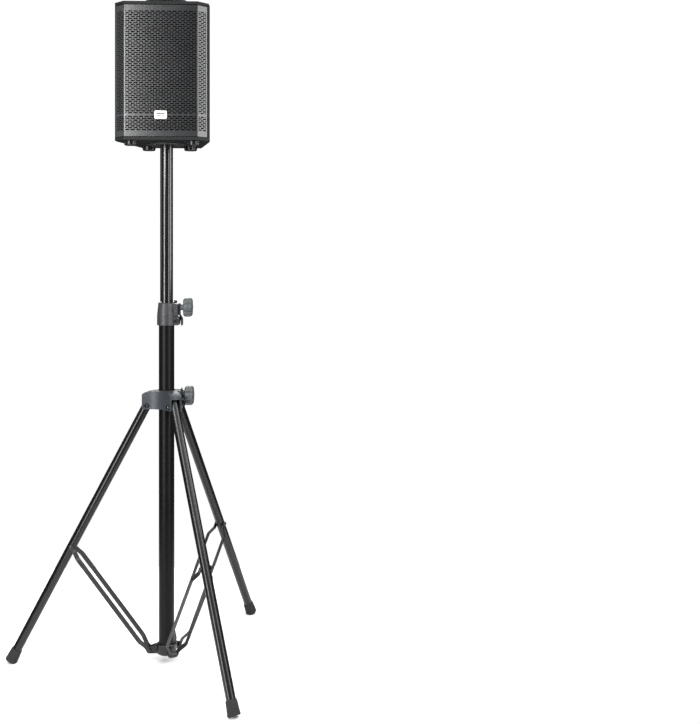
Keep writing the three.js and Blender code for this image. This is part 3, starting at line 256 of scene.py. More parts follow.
def moulded_abs(name, base, roughness=0.42):
    """ABS from a spark-eroded mould: a fine even grain that keeps the black from shining."""
    plastic = Finish(name, base, roughness)
    cells = plastic.cells(0.7, "SMOOTH_F1")
    plastic.vary_colour(plastic.grain(18), 0.9, 1.15)
    plastic.relief(cells, 0.08, 0.5)
    return plastic.material


def vulcanised_rubber(name, base):
    """Moulded rubber: matt, slightly grey where dust has settled in its skin."""
    rubber = Finish(name, base, 0.78, specular=0.35)
    dust = rubber.grain(14, 5)
    rubber.vary_colour(dust, 1.0, 1.7)
    rubber.vary_roughness(dust, 0.68, 0.88)
    rubber.relief(rubber.grain(0.5, 4), 0.06, 0.7)
    return rubber.material


def zinc_plate(name, base):
    """Zinc-plated steel: bright, with the fine crossing marks of barrel plating."""
    plate = Finish(name, base, 0.3, metallic=1.0)
    marks = plate.grain(0.8, 3, (1.0, 0.2, 1.0))
    plate.vary_colour(plate.grain(5), 0.8, 1.0)
    plate.vary_roughness(marks, 0.22, 0.42)
    plate.relief(marks, 0.03, 0.4)
    return plate.material


def pressed_steel(name, base):
    """Black-passivated steel strip: a half-dull metal with rolling marks along it."""
    strip = Finish(name, base, 0.4, metallic=0.2)
    rolling = strip.grain(1.5, 3, (1.0, 1.0, 0.15))
    strip.vary_colour(rolling, 0.8, 1.25)
    strip.vary_roughness(strip.grain(8, 3), 0.34, 0.52)
    strip.relief(rolling, 0.03, 0.5)
    return strip.material


def structure_paint(name, base):
    """Thick water-based paint rolled on plywood: hard little pips about a millimetre apart."""
    paint = Finish(name, base, 0.6, specular=0.22)
    pips = paint.cells(1.5, "SMOOTH_F1")
    paint.vary_colour(paint.grain(3, 3), 0.8, 1.3)
    paint.vary_roughness(pips, 0.5, 0.75)
    paint.relief(pips, 0.45, 0.8)
    return paint.material


def open_foam(name, base):
    """Reticulated acoustic foam: a dark net of open cells that swallows light."""
    foam = Finish(name, base, 0.95, specular=0.1)
    cells = foam.cells(1.6)
    foam.vary_colour(cells, 0.5, 1.4)
    foam.relief(cells, 0.8)
    return foam.material


def pulp_paper(name, base):
    """Doped paper pulp: matt black with loose fibres pressed into it."""
    paper = Finish(name, base, 0.82, specular=0.25)
    fibres = paper.grain(2.2, 6, (1.0, 0.25, 1.0))
    paper.vary_colour(fibres, 0.7, 1.6)
    paper.relief(fibres, 0.12, 0.7)
    return paper.material


def ferrite(name, base):
    """Sintered ferrite ring: charcoal, rough and a little sparkling."""
    ring = Finish(name, base, 0.6, metallic=0.4)
    ring.vary_colour(ring.grain(1.5, 5), 0.7, 1.5)
    ring.relief(ring.grain(0.8, 4), 0.1, 0.6)
    return ring.material


def raw_plywood(name, base):
    """Birch plywood stained black: the veneer's long grain runs up the board."""
    board = Finish(name, base, 0.7, specular=0.3)
    veneer = board.grain(4, 5, (1.0, 1.0, 0.05))
    board.vary_colour(veneer, 0.7, 1.4)
    board.relief(veneer, 0.1, 0.5)
    return board.material


def lacquered_board(name, base):
    """Circuit board laminate: green lacquer over a faint glass weave."""
    board = Finish(name, base, 0.3)
    inputs = {"Vector": board.place, "Scale": 1 / (2.4 * MM)}
    weave = add_node(board.tree, "ShaderNodeTexChecker", inputs).outputs["Fac"]
    board.vary_colour(weave, 0.9, 1.1)
    board.relief(weave, 0.02, 0.4)
    return board.material


def enamelled_plate(name, base):
    """Vitreous enamel on a small plate: smooth, glossy and very slightly uneven in tone."""
    plate = Finish(name, base, 0.22)
    plate.vary_colour(plate.grain(7, 3), 0.94, 1.0)
    plate.relief(plate.grain(3), 0.03, 0.3)
    return plate.material


def studio_paint(name, base):
    """Matt white emulsion, for the floor that the stand is on."""
    paint = Finish(name, base, 0.9, specular=0.1)
    paint.vary_colour(paint.grain(400, 2), 0.985, 1.0)
    return paint.material


FINISH = {}


def make_finishes():
    stand = stand_settings()
    cabinet = cabinet_settings()
    tube_black = tuple(stand.tube_black)
    FINISH.update(
        powder=powder_coat("powder_coated_steel", tube_black, 0.27, 0.4, 3.0),
        satin=powder_coat("satin_powder_coated_steel", tube_black, 0.36, 0.14, 3.0),
        enamel=stove_enamel("stove_enamelled_tube", tuple(stand.enamel_black)),
        clamp=painted_casting("painted_casting_grey", tuple(stand.clamp_grey), 0.42),
        collar=painted_casting("painted_casting_blue_grey", tuple(stand.collar_grey), 0.42),
        knob=filled_nylon("glass_filled_nylon", tuple(stand.knob_grey)),
        plastic=moulded_abs("moulded_abs_black", linear("1b1c1e")),
        nylon=moulded_abs("moulded_nylon_black", linear("242425"), 0.55),
        rubber=vulcanised_rubber("vulcanised_rubber", linear("1b1b1c")),
        foot=moulded_abs("moulded_pvc_foot", linear("151516"), 0.26),
        zinc=zinc_plate("zinc_plated_steel", linear("c4c6ca")),
        dark_zinc=zinc_plate("black_oxide_steel", linear("4a4c50")),
        strip=pressed_steel("black_passivated_strip", linear("1c1c1d")),
        shell=structure_paint("structure_paint_on_plywood", tuple(cabinet.paint_black)),
        board=raw_plywood("stained_plywood", linear("1d1b1a")),
        grille=powder_coat("powder_coated_grille", tuple(cabinet.grille_black), 0.26, 0.6, 3.0),
        badge=enamelled_plate("white_enamel_plate", tuple(cabinet.badge_white)),
        badge_bar=enamelled_plate("grey_enamel_bar", linear("4e5054")),
        foam=open_foam("reticulated_foam", linear("080808")),
        frame=powder_coat("powder_coated_pressing", linear("2a2b2d"), 0.45, 0.4),
        ferrite=ferrite("sintered_ferrite", linear("45464a")),
        paper=pulp_paper("doped_paper_pulp", linear("1f1f20")),
        circuit=lacquered_board("green_circuit_board", linear("24513a")),
        floor=studio_paint("white_studio_paint", linear("fafafa")),
    )


# ---------------------------------------------------------------- mesh code


def aimed(origin, direction, side=UP):
    """A placement whose Z runs along the direction and whose X is as near to side as it can be."""
    z = Vector(direction).normalized()
    if abs(z.dot(side)) > 0.999:
        side = Vector((1.0, 0.0, 0.0))
    x = (side - side.dot(z) * z).normalized()
    placement = Matrix((x, z.cross(x), z)).transposed().to_4x4()
    placement.translation = Vector(origin)
    return placement


def spin(bm, rings, placement, steps=48):
    """Joins rings of (radius, height) in millimetres round the placement's Z into a closed skin.

    A radius is a number or a function of the angle. Rings that start and end on the axis close
    there, and any others close on themselves.
    """
    made = []
    for radius, height in rings:
        reach = radius if callable(radius) else lambda angle, fixed=radius: fixed
        if not callable(radius) and radius < 1e-6:
            made.append([bm.verts.new(placement @ Vector((0.0, 0.0, height * MM)))])
            continue
        ring = []
        for step in range(steps):
            angle = 2 * math.pi * step / steps
            x, y = math.cos(angle) * reach(angle), math.sin(angle) * reach(angle)
            ring.append(bm.verts.new(placement @ Vector((x * MM, y * MM, height * MM))))
        made.append(ring)
    closed = len(made[0]) > 1 and len(made[-1]) > 1
    following = made[1:] + ([made[0]] if closed else [])
    for low, high in zip(made, following):
        for step in range(steps):
            after = (step + 1) % steps
            if len(low) == 1:
                bm.faces.new((low[0], high[step], high[after]))
            elif len(high) == 1:
                bm.faces.new((low[step], low[after], high[0]))
            else:
                bm.faces.new((low[step], low[after], high[after], high[step]))


def prism(bm, outline, low, high, placement):
    """An outline of (x, y) points in millimetres, raised along the placement's Z."""
    bottom = [bm.verts.new(placement @ Vector((x * MM, y * MM, low * MM))) for x, y in outline]
    top = [bm.verts.new(placement @ Vector((x * MM, y * MM, high * MM))) for x, y in outline]
    count = len(outline)
    for i in range(count):
        j = (i + 1) % count
        bm.faces.new((bottom[i], bottom[j], top[j], top[i]))
    bm.faces.new(list(reversed(bottom)))
    bm.faces.new(top)


def rounded_outline(half_width, half_height, corner, steps=6):
    points = []
    for sx, sy, start in ((1, 1, 0), (-1, 1, 90), (-1, -1, 180), (1, -1, 270)):
        for i in range(steps + 1):
            angle = math.radians(start + 90 * i / steps)
            x = sx * (half_width - corner) + corner * math.cos(angle)
            y = sy * (half_height - corner) + corner * math.sin(angle)
            points.append((x, y))
    return points


def soften(obj, width_mm, segments=2, angle=32.0):
    """Rounds the edges sharper than the angle, and keeps the flats flat under smooth shading."""
    bevel = obj.modifiers.new("edges", "BEVEL")
    bevel.width = width_mm * MM
    bevel.segments = segments
    bevel.limit_method = "ANGLE"
    bevel.angle_limit = math.radians(angle)
    bevel.miter_outer = "MITER_ARC"
    flats = obj.modifiers.new("flats", "WEIGHTED_NORMAL")
    flats.keep_sharp = False
    flats.weight = 80


def make_piece(name, bm, finish, body, replaces=(), bevel=0.0, segments=2, sharp=38.0):
    """Turns mesh code into a piece that rides on a body, with its finish and its softened edges."""
    bmesh.ops.recalc_face_normals(bm, faces=bm.faces)
    mesh = bpy.data.meshes.new(name)
    bm.to_mesh(mesh)
    bm.free()
    mesh.materials.append(FINISH[finish])
    mesh.shade_smooth()
    piece = bpy.data.objects.new(name, mesh)
    bpy.context.scene.collection.objects.link(piece)
    if bevel:
        soften(piece, bevel, segments)
    else:
        mesh.set_sharp_from_angle(angle=math.radians(sharp))
    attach(piece, body)
    if replaces:
        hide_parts(*replaces)
    return piece


def dress(node, finish, bevel=0.8, segments=2, angle=32.0):
    """Gives a CAD node its finish and rounds its edges, by modifiers that leave its mesh alone."""
    obj = NODES[node]
    mesh = obj.data
    mesh.materials.clear()
    mesh.materials.append(FINISH[finish])
    mesh.normals_split_custom_set([(0.0, 0.0, 0.0)] * len(mesh.loops))
    mesh.shade_smooth()
    weld = obj.modifiers.new("weld", "WELD")
    weld.merge_threshold = 0.004 * MM
    flat = obj.modifiers.new("flat_faces", "DECIMATE")
    flat.decimate_type = "DISSOLVE"
    flat.angle_limit = math.radians(0.8)
    soften(obj, bevel, segments, angle)


def apply_modifiers(piece, sharp):
    """Keeps the result of a piece's modifiers as its mesh, smooth but for edges over the angle."""
    bpy.context.view_layer.update()
    evaluated = piece.evaluated_get(bpy.context.evaluated_depsgraph_get())
    piece.data = bpy.data.meshes.new_from_object(evaluated)
    piece.modifiers.clear()
    piece.data.shade_smooth()
    piece.data.set_sharp_from_angle(angle=math.radians(sharp))


def hexagon(radius, share=1.0):
    """The reach, at each angle, of a hexagon whose corners are at a share of the radius."""
    apothem = share * radius * math.cos(math.pi / 6)
    return lambda angle: apothem / math.cos(angle % (math.pi / 3) - math.pi / 6)


def pan_head(bm, placement, radius=4.0, height=2.2):
    """A pan-head screw with a round driver recess, standing on the placement's plane."""
    neck = radius * 0.7
    rings = [(0, -1.0), (neck, -1.0), (neck, 0.0), (radius, 0.05), (radius, height * 0.4)]
    for angle in (25, 50, 72):
        turn = math.radians(angle)
        rings.append((radius * math.cos(turn) * 0.999, height * (0.4 + 0.6 * math.sin(turn))))
    star = lambda angle: radius * (0.34 + 0.1 * math.cos(4 * angle))
    rings += [(star, height * 0.99), (star, height * 0.4), (0, height * 0.35)]
    spin(bm, rings, placement, 32)


def domed_rivet(bm, placement, radius, height, shank, shank_radius=3.0):
    """A rivet along Z from -shank to +shank, with a dome at each end."""
    dome = [(radius, shank)]
    for angle in (25, 45, 65, 80):
        turn = math.radians(angle)
        dome.append((radius * math.cos(turn), shank + height * math.sin(turn)))
    up = [(shank_radius, shank), *dome, (0, shank + height)]
    down = [(r, -h) for r, h in reversed(up)]
    spin(bm, down + up, placement, 28)


# ---------------------------------------------------------------- stage


CAMERA_AZIMUTH = math.radians(7.7)
CAMERA_DISTANCE = 2.928
CAMERA_HEIGHT = 1.125
CAMERA_HEADING = math.radians(-2.19)
CAMERA_LENS = 52.31
CAMERA_SHIFT = -0.1547  # in place of a tilt, so that uprights stay parallel

# azimuth from the front, distance and height of the centre, width, height and power
SOFTBOXES = {
    "left_strip": (-33.0, 1.6, 1.1, 0.36, 1.9, 33.0),
    "right_strip": (49.0, 1.6, 1.1, 0.36, 1.9, 17.0),
    "side_strip": (84.0, 1.3, 1.6, 0.5, 1.2, 15.0),
    "cabinet_strip": (-20.0, 1.0, 1.75, 0.16, 0.75, 8.0),
    "far_side_strip": (-100.0, 1.4, 1.6, 0.5, 1.2, 1.8),
    "back_strip": (-172.0, 2.2, 2.3, 0.6, 1.1, 26.0),
}


class STAND_OT_stage(Operator):
    """Sets the camera, the pale floor and the soft studio light"""

    bl_idname = "speaker_stand.stage"
    bl_label = "Stage"

    def execute(self, context):
        self.add_camera(context.scene)
        self.add_floor(context.scene)
        for name, values in SOFTBOXES.items():
            self.add_softbox(context.scene, name, *values)
        ceiling = bpy.data.lights.new("ceiling", "SUN")
        ceiling.energy = 3.3
        ceiling.angle = math.radians(110)
        lamp = bpy.data.objects.new("ceiling", ceiling)
        lamp.location = COLUMN + UP * 4
        context.scene.collection.objects.link(lamp)
        world = bpy.data.worlds.new("white_studio")
        world.use_nodes = True
        self.light_world(world.node_tree)
        context.scene.world = world
        context.scene.view_settings.view_transform = "Standard"
        return {"FINISHED"}

    def light_world(self, tree):
        """A white surround for the eye, but a dim light, so that black paint stays black."""
        rays = add_node(tree, "ShaderNodeLightPath").outputs
        strength = add_node(tree, "ShaderNodeMapRange", {"Value": rays["Is Camera Ray"]})
        strength.inputs["To Min"].default_value = 0.06
        strength.inputs["To Max"].default_value = 1.02
        background = tree.nodes["Background"]
        background.inputs["Color"].default_value = (1.0, 1.0, 1.0, 1.0)
        tree.links.new(strength.outputs["Result"], background.inputs["Strength"])

    def add_camera(self, scene):
        data = bpy.data.cameras.new("camera")
        data.sensor_width = 36.0
        data.lens = CAMERA_LENS
        data.shift_y = CAMERA_SHIFT
        data.clip_end = 50.0
        camera = bpy.data.objects.new("camera", data)
        away = Vector((math.sin(CAMERA_AZIMUTH), -math.cos(CAMERA_AZIMUTH), 0.0))
        camera.location = COLUMN + away * CAMERA_DISTANCE + UP * CAMERA_HEIGHT
        camera.rotation_euler = (math.pi / 2, 0.0, CAMERA_HEADING)
        scene.collection.objects.link(camera)
        scene.camera = camera

    def add_floor(self, scene):
        bm = bmesh.new()
        corners = [(-0.8, -0.85), (1.0, -0.85), (1.0, 0.85), (-0.8, 0.85)]
        bm.faces.new([bm.verts.new((x, y, 0.0)) for x, y in corners])
        mesh = bpy.data.meshes.new("studio_floor")
        bm.to_mesh(mesh)
        bm.free()
        mesh.materials.append(FINISH["floor"])
        floor = bpy.data.objects.new("studio_floor", mesh)
        scene.collection.objects.link(floor)

    def add_softbox(self, scene, name, azimuth, distance, height, width, tall, power):
        data = bpy.data.lights.new(name, "AREA")
        data.shape = "RECTANGLE"
        data.size = width
        data.size_y = tall
        data.energy = power
        turn = math.radians(azimuth)
        outward = Vector((math.sin(turn), -math.cos(turn), 0.0))
        box = bpy.data.objects.new(name, data)
        box.location = COLUMN + outward * distance + UP * height
        box.rotation_euler = outward.to_track_quat("Z", "Y").to_euler()
        box.visible_camera = False
        scene.collection.objects.link(box)


# ---------------------------------------------------------------- stand pieces


def tube_rings(radius, wall, low, high):
    """A tube's section, with its ends broken by half a millimetre."""
    inner = radius - wall
    edge = 0.5
    return [
        (inner, low),
        (radius - edge, low),
        (radius, low + edge),
        (radius, high - edge),
        (radius - edge, high),
        (inner, high),
    ]


def carve(piece, cutter_bm):
    """Cuts the solid in the bmesh out of a piece and keeps the result as its mesh."""
    mesh = bpy.data.meshes.new("cutter")
    cutter_bm.to_mesh(mesh)
    cutter_bm.free()
    cutter = bpy.data.objects.new("cutter", mesh)
    bpy.context.scene.collection.objects.link(cutter)
    cutting = piece.modifiers.new("cut", "BOOLEAN")
    cutting.operation = "DIFFERENCE"
    cutting.solver = "EXACT"
    cutting.object = cutter
    apply_modifiers(piece, 38)
    bpy.data.objects.remove(cutter)


class STAND_OT_tubes(Operator):
    """Builds the lower tube, the sliding tube with its pin holes, and the plugs in their ends"""

    bl_idname = "speaker_stand.tubes"
    bl_label = "Tubes"

    def execute(self, context):
        sides = stand_settings().tube_sides
        for node, body, finish, slot, wall in (
            ("lower_tube", "column", "satin", "tube_powder_coat", 2.0),
            ("upper_tube", "mast", "enamel", "tube_gloss", 1.8),
        ):
            low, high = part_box(node)
            bm = bmesh.new()
            rings = tube_rings((high.x - low.x) / 2 / MM, wall, low.z / MM, high.z / MM)
            spin(bm, rings, Matrix.Translation(COLUMN), sides)
            piece = make_piece(node + "_drawn", bm, finish, body, [node])
            if node == "upper_tube":
                self.drill(piece)
        dress("tube_foot", "nylon", 0.8)
        dress("upper_tube_bush", "nylon", 0.5)
        dress("upper_tube_cap", "plastic", 0.6)
        return {"FINISHED"}

    def drill(self, tube):
        """The row of cross holes for the safety pin, down from where it is at rest."""
        axis = Vector(JOINTS["safety_pin_pull"]["axis"])
        height = middle_of("safety_pin").z
        bm = bmesh.new()
        for step in range(PIN_HOLES):
            centre = COLUMN + UP * (height - step * PIN_HOLE_SPACING * MM)
            spin(bm, [(0, -25), (2.4, -25), (2.4, 25), (0, 25)], aimed(centre, axis), 20)
        bmesh.ops.recalc_face_normals(bm, faces=bm.faces)
        carve(tube, bm)


class STAND_OT_height_clamp(Operator):
    """Finishes the height clamp's castings, catch and pad, and builds its bolt and pin"""

    bl_idname = "speaker_stand.height_clamp"
    bl_label = "Height clamp"

    def execute(self, context):
        dress("clamp_ring", "clamp", 1.2, 3)
        dress("clamp_body", "clamp", 1.2, 3)
        dress("catch_lever", "plastic", 0.9, 3)
        dress("height_pad", "nylon", 0.4)
        dress("height_screw", "zinc", 0.5)
        self.add_pinch_bolt()
        self.add_pin()
        return {"FINISHED"}

    def add_pinch_bolt(self):
        low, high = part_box("pinch_bolt")
        centre = (low + high) / 2
        half = (high.y - low.y) / 2 / MM
        placement = aimed(centre, (0, -1, 0))
        bm = bmesh.new()
        nut, socket = hexagon(5.6), hexagon(5.6, 0.46)
        rings = [
            (0, -half), (3, -half), (nut, -half + 0.5), (nut, -half + 3.9), (3, -half + 4.0),
            (3, half - 4.0), (5.4, half - 4.0), (5.4, half - 0.6), (4.9, half), (socket, half),
            (socket, half - 2.6), (0, half - 3.0),
        ]
        spin(bm, rings, placement, 48)
        name = "pinch_bolt"
        make_piece(name + "_socket_head", bm, "dark_zinc", "column", [name])

    def add_pin(self):
        """A stepped pin with a ribbed grip, so that it can be pulled with two fingers."""
        axis = Vector(JOINTS["safety_pin_pull"]["axis"])
        origin = COLUMN + UP * middle_of("safety_pin").z
        bm = bmesh.new()
        shank = [(0, -27), (1.2, -27), (2, -25.4), (2, 25), (0, 25)]
        spin(bm, shank, aimed(origin, axis), 24)
        make_piece("safety_pin_shank", bm, "zinc", "safety_pin", ["safety_pin"])
        rings = [(0, 24), (3.6, 24)]
        for start in (24.6, 26.6, 28.6):
            rings += [(4.4, start), (4.4, start + 1.1), (3.9, start + 1.4), (3.9, start + 1.8)]
        rings += [(4.3, 30.8), (3.2, 32.6), (1.6, 33), (0, 33)]
        bm = bmesh.new()
        spin(bm, rings, aimed(origin, axis), 32)
        make_piece("safety_pin_grip", bm, "plastic", "safety_pin")


def lobed_knob(bm, placement):
    """A hand knob with six lobes: rounded rims, a dished front and a domed middle."""
    settings = stand_settings()
    tip = settings.knob_radius / MM
    valley = settings.knob_valley / MM

    def lobe(inset, share=1.0, disc=0.0):
        def reach(angle):
            wave = abs(math.sin(3 * angle))
            return share * (tip - valley * (1 - wave) ** 1.5 - inset) + (1 - share) * disc

        return reach

    rings = [
        (0.0, 8.5), (5.4, 8.0), (5.4, -8.0), (7.2, -8.0), (8.0, -7.2), (8.0, -0.4), (9.0, 0.9),
        (lobe(10.0, 0.6, 12), 1.2), (lobe(6.5), 0.4), (lobe(4.6), 0.6), (lobe(2.8), 1.5),
        (lobe(1.4), 2.8), (lobe(0.4), 4.6), (lobe(0.0), 6.6), (lobe(0.0), 18.0),
        (lobe(0.5), 19.8), (lobe(1.6), 21.6), (lobe(3.2), 23.0), (lobe(5.2), 23.9),
        (lobe(7.2, 0.9, 17), 24.2), (15.5, 23.4), (13.6, 22.9), (12.8, 22.9), (12.2, 23.6),
        (8.0, 24.2), (4.0, 24.4), (0.0, 24.5),
    ]
    spin(bm, rings, placement, 120)


class STAND_OT_knobs(Operator):
    """Builds the two lobed hand knobs and finishes the leg knob's screw, washer and pad"""

    bl_idname = "speaker_stand.knobs"
    bl_label = "Knobs"

    def execute(self, context):
        for node, joint in (("height_knob", "height_knob_turn"), ("leg_knob", "leg_knob_turn")):
            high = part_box(node)[1]
            pivot = Vector(JOINTS[joint]["pos_m"])
            bm = bmesh.new()
            lobed_knob(bm, aimed((high.x - KNOB_DEPTH * MM, pivot.y, pivot.z), (1, 0, 0)))
            make_piece(node + "_lobed", bm, "knob", node, [node], sharp=50.0)
        dress("leg_screw", "zinc", 0.5)
        dress("leg_washer", "plastic", 0.7)
        dress("leg_pad", "nylon", 0.4)
        return {"FINISHED"}


def azimuth_axes(name):
    """The outward and the tangential direction of a leg."""
    turn = math.radians(LEG_AZIMUTHS[name])
    across, along = math.cos(turn), math.sin(turn)
    return Vector((across, along, 0.0)), Vector((-along, across, 0.0))


class STAND_OT_leg_collar(Operator):
    """Finishes the sliding collar that carries the legs, and builds its three cross bolts"""

    bl_idname = "speaker_stand.leg_collar"
    bl_label = "Leg collar"

    def execute(self, context):
        dress("leg_collar", "collar", 1.8, 3)
        dress("leg_collar_liner", "nylon", 0.5)
        for name in LEG_AZIMUTHS:
            self.add_bolt(name)
        return {"FINISHED"}

    def add_bolt(self, name):
        tangent = azimuth_axes(name)[1]
        pivot = Vector(JOINTS[f"{name}_leg_fold"]["pos_m"])
        toward = tangent if tangent.y < 0 else -tangent
        half = ARM_HALF_WIDTH + BOLT_CLEARANCE
        nut, socket = hexagon(6.9), hexagon(6.9, 0.5)
        rings = [
            (0, -half - 4.5), (3.4, -half - 4.5), (nut, -half - 4.0), (nut, -half), (4, -half),
            (4, half), (6.5, half), (6.5, half + 3.6), (5.8, half + 4.4), (socket, half + 4.4),
            (socket, half + 1.4), (0, half + 1.0),
        ]
        bm = bmesh.new()
        spin(bm, rings, aimed(pivot, toward), 48)
        bolt = f"{name}_leg_bolt"
        make_piece(f"{name}_leg_socket_bolt", bm, "dark_zinc", "leg_collar", [bolt])


class STAND_OT_legs(Operator):
    """Builds the three leg tubes with their ribbed rubber feet and domed rivets"""

    bl_idname = "speaker_stand.legs"
    bl_label = "Legs and feet"

    def execute(self, context):
        for name in LEG_AZIMUTHS:
            pivot = Vector(JOINTS[f"{name}_leg_fold"]["pos_m"])
            rivet = Vector(JOINTS[f"{name}_brace_fold"]["pos_m"])
            upward = (pivot - rivet).normalized()
            outward, tangent = azimuth_axes(name)
            placement = aimed(pivot, upward, outward)
            spread = math.acos(upward.z)
            end = self.leg_length(pivot, spread)
            bm = bmesh.new()
            leg = f"{name}_leg"
            rings = tube_rings(LEG_RADIUS, LEG_WALL, -end + FOOT_SOLE + 0.3, LEG_ABOVE_PIVOT)
            spin(bm, rings, placement, 48)
            make_piece(leg + "_drawn", bm, "powder", leg, [leg])
            self.add_foot(name, placement, end)
            bm = bmesh.new()
            dome = stand_settings().rivet_dome / MM
            shank = LEG_RADIUS + BRACE_THICKNESS + 0.9
            domed_rivet(bm, aimed(rivet, tangent), 5.4, dome, shank)
            rivets = f"{name}_brace_rivet"
            make_piece(rivets + "_domed", bm, "dark_zinc", leg, [rivets])
        return {"FINISHED"}

    def leg_length(self, pivot, spread):
        """Distance from the pivot to the end of the foot cap, before the floor trims its rim."""
        floor_end = FOOT_RADIUS * math.sin(spread) - FOOT_TRIM
        return (pivot.z / MM - floor_end) / math.cos(spread)

    def add_foot(self, name, placement, end):
        placement = placement @ Matrix.Translation((0, 0, -end * MM))
        rings = [(0, 2.5), (6, 2.2), (8, 0.4), (14.4, 0), (15.8, 0.5), (FOOT_RADIUS, 1.8)]
        rings += [(16.3, 8.5), (15.6, 9.0), (15.6, 10.2), (16.1, 10.7)]
        for start in (14.5, 18.5, 22.5):
            shrink = (start - 14.5) * 0.06
            rings += [(15.9 - shrink, start), (15.4 - shrink, start + 0.5)]
            rings += [(15.4 - shrink, start + 1.3), (15.8 - shrink, start + 1.8)]
        rings += [(14.7, 33), (14.5, 33.6), (14.5, 36.2), (13.9, 37), (12.8, 37)]
        rings += [(12.8, FOOT_SOLE), (0, FOOT_SOLE)]
        bm = bmesh.new()
        spin(bm, rings, placement, 56)
        cut = bmesh.ops.bisect_plane(
            bm,
            geom=bm.verts[:] + bm.edges[:] + bm.faces[:],
            plane_co=(0, 0, 0),
            plane_no=(0, 0, 1),
            clear_inner=True,
        )
        edges = [item for item in cut["geom_cut"] if isinstance(item, bmesh.types.BMEdge)]
        bmesh.ops.holes_fill(bm, edges=[edge for edge in edges if edge.is_boundary])
        cap = f"{name}_foot_cap"
        make_piece(f"{name}_foot_ribbed", bm, "rubber", f"{name}_leg", [cap])


class STAND_OT_braces(Operator):
    """Builds the pressed bars from the legs to the base bracket, and finishes the bracket"""

    bl_idname = "speaker_stand.braces"
    bl_label = "Braces"

    def execute(self, context):
        for name in LEG_AZIMUTHS:
            rivet = Vector(JOINTS[f"{name}_brace_fold"]["pos_m"])
            outward, tangent = azimuth_axes(name)
            base = COLUMN + outward * BRACKET_REACH * MM + UP * BRACKET_HEIGHT * MM
            for letter, side in (("a", 1), ("b", -1)):
                bm = bmesh.new()
                upward = (rivet - base).normalized()
                across = (side * tangent).normalized()
                placement = Matrix((upward.cross(across), across, upward)).transposed().to_4x4()
                placement.translation = rivet
                self.add_bar(bm, placement, (rivet - base).length / MM)
                bar = f"{name}_brace_{letter}"
                make_piece(bar + "_pressed", bm, "strip", f"{name}_braces", [bar])
        dress("base_bracket", "powder", 1.2, 3)
        return {"FINISHED"}

    def add_bar(self, bm, placement, length_mm):
        """One bar: flat at its eyes, jogged outwards between them, grooved down its middle."""
        at_leg, at_base, middle, half = 14.6, 11.1, 28.0, BRACE_HALF_WIDTH
        bends = [
            (half, at_leg),
            (-15.0, at_leg),
            (-36.0, middle),
            (-length_mm + 38.0, middle),
            (-length_mm + 15.0, at_base),
            (-length_mm - half, at_base),
        ]
        heights = [half * (1 - k) for k in (0.004, 0.03, 0.12, 0.3, 0.55, 1.0)]
        for (a, _), (b, _) in zip(bends, bends[1:]):
            for share in (0.02, 0.04, 0.07, 0.25, 0.5, 0.75, 0.93, 0.96, 0.98):
                heights.append(a + (b - a) * share)
        heights = sorted({round(h, 3) for h in heights if -length_mm <= h <= half}, reverse=True)
        heights += [-length_mm - half * k for k in (0.45, 0.7, 0.88, 0.97, 0.996)]
        rings = []
        for z in heights:
            beyond = max(z, -length_mm - z, 0.0)
            reach = max(math.sqrt(max(half * half - beyond * beyond, 0.0)), 0.2)
            offset = self.smooth_offset(bends, z)
            groove = 0.9 if -length_mm + 46 < z < -44 else 0.0
            rings.append(self.section(placement, z, offset, reach, groove))
        rings = [[bm.verts.new(point) for point in ring] for ring in rings]
        count = len(rings[0])
        for low, high in zip(rings, rings[1:]):
            for i in range(count):
                j = (i + 1) % count
                bm.faces.new((low[i], low[j], high[j], high[i]))
        bm.faces.new(rings[0])
        bm.faces.new(list(reversed(rings[-1])))
        eye = placement @ Vector((0, at_base * MM, -length_mm * MM))
        head = aimed(eye, placement.to_3x3() @ Vector((0, 1, 0)))
        dome = [(0, 0.5), (5.4, 0.5), (5.4, 1.7), (4.9, 2.8), (3.6, 3.6), (1.8, 4.0), (0, 4.05)]
        spin(bm, dome, head, 28)

    def smooth_offset(self, bends, z):
        """How far out the bar is at a height, averaged over 5 mm so that each bend is round."""
        total = 0.0
        samples = (-2.5, -1.5, -0.5, 0.5, 1.5, 2.5)
        for shift in samples:
            height = min(max(z + shift, bends[-1][0]), bends[0][0])
            for (a, low), (b, high) in zip(bends, bends[1:]):
                if b <= height <= a:
                    total += low + (high - low) * (a - height) / (a - b)
                    break
        return total / len(samples)

    def section(self, placement, z, offset, reach, groove):
        """The bar's section, 3 mm thick, with rounded corners."""
        share = reach / BRACE_HALF_WIDTH
        sunk = 1.5 - groove
        outer = [(-5.4, 1.5), (-3.4, 1.5), (-2.4, sunk), (2.4, sunk), (3.4, 1.5), (5.4, 1.5)]
        inner = [(5.4, -1.5), (3.0, -1.5), (-3.0, -1.5), (-5.4, -1.5)]
        points = [(-6.0, 0.9), *outer, (6.0, 0.9), (6.0, -0.9), *inner, (-6.0, -0.9)]
        return [placement @ Vector((x * share * MM, (offset + y) * MM, z * MM)) for x, y in points]


# ---------------------------------------------------------------- cabinet pieces


class CABINET_OT_shell(Operator):
    """Finishes the painted plywood shell and the board inside its front"""

    bl_idname = "speaker_stand.shell"
    bl_label = "Cabinet shell"

    def execute(self, context):
        dress("cabinet_shell", "shell", 2.2, 3)
        dress("front_baffle", "board", 0.8)
        return {"FINISHED"}


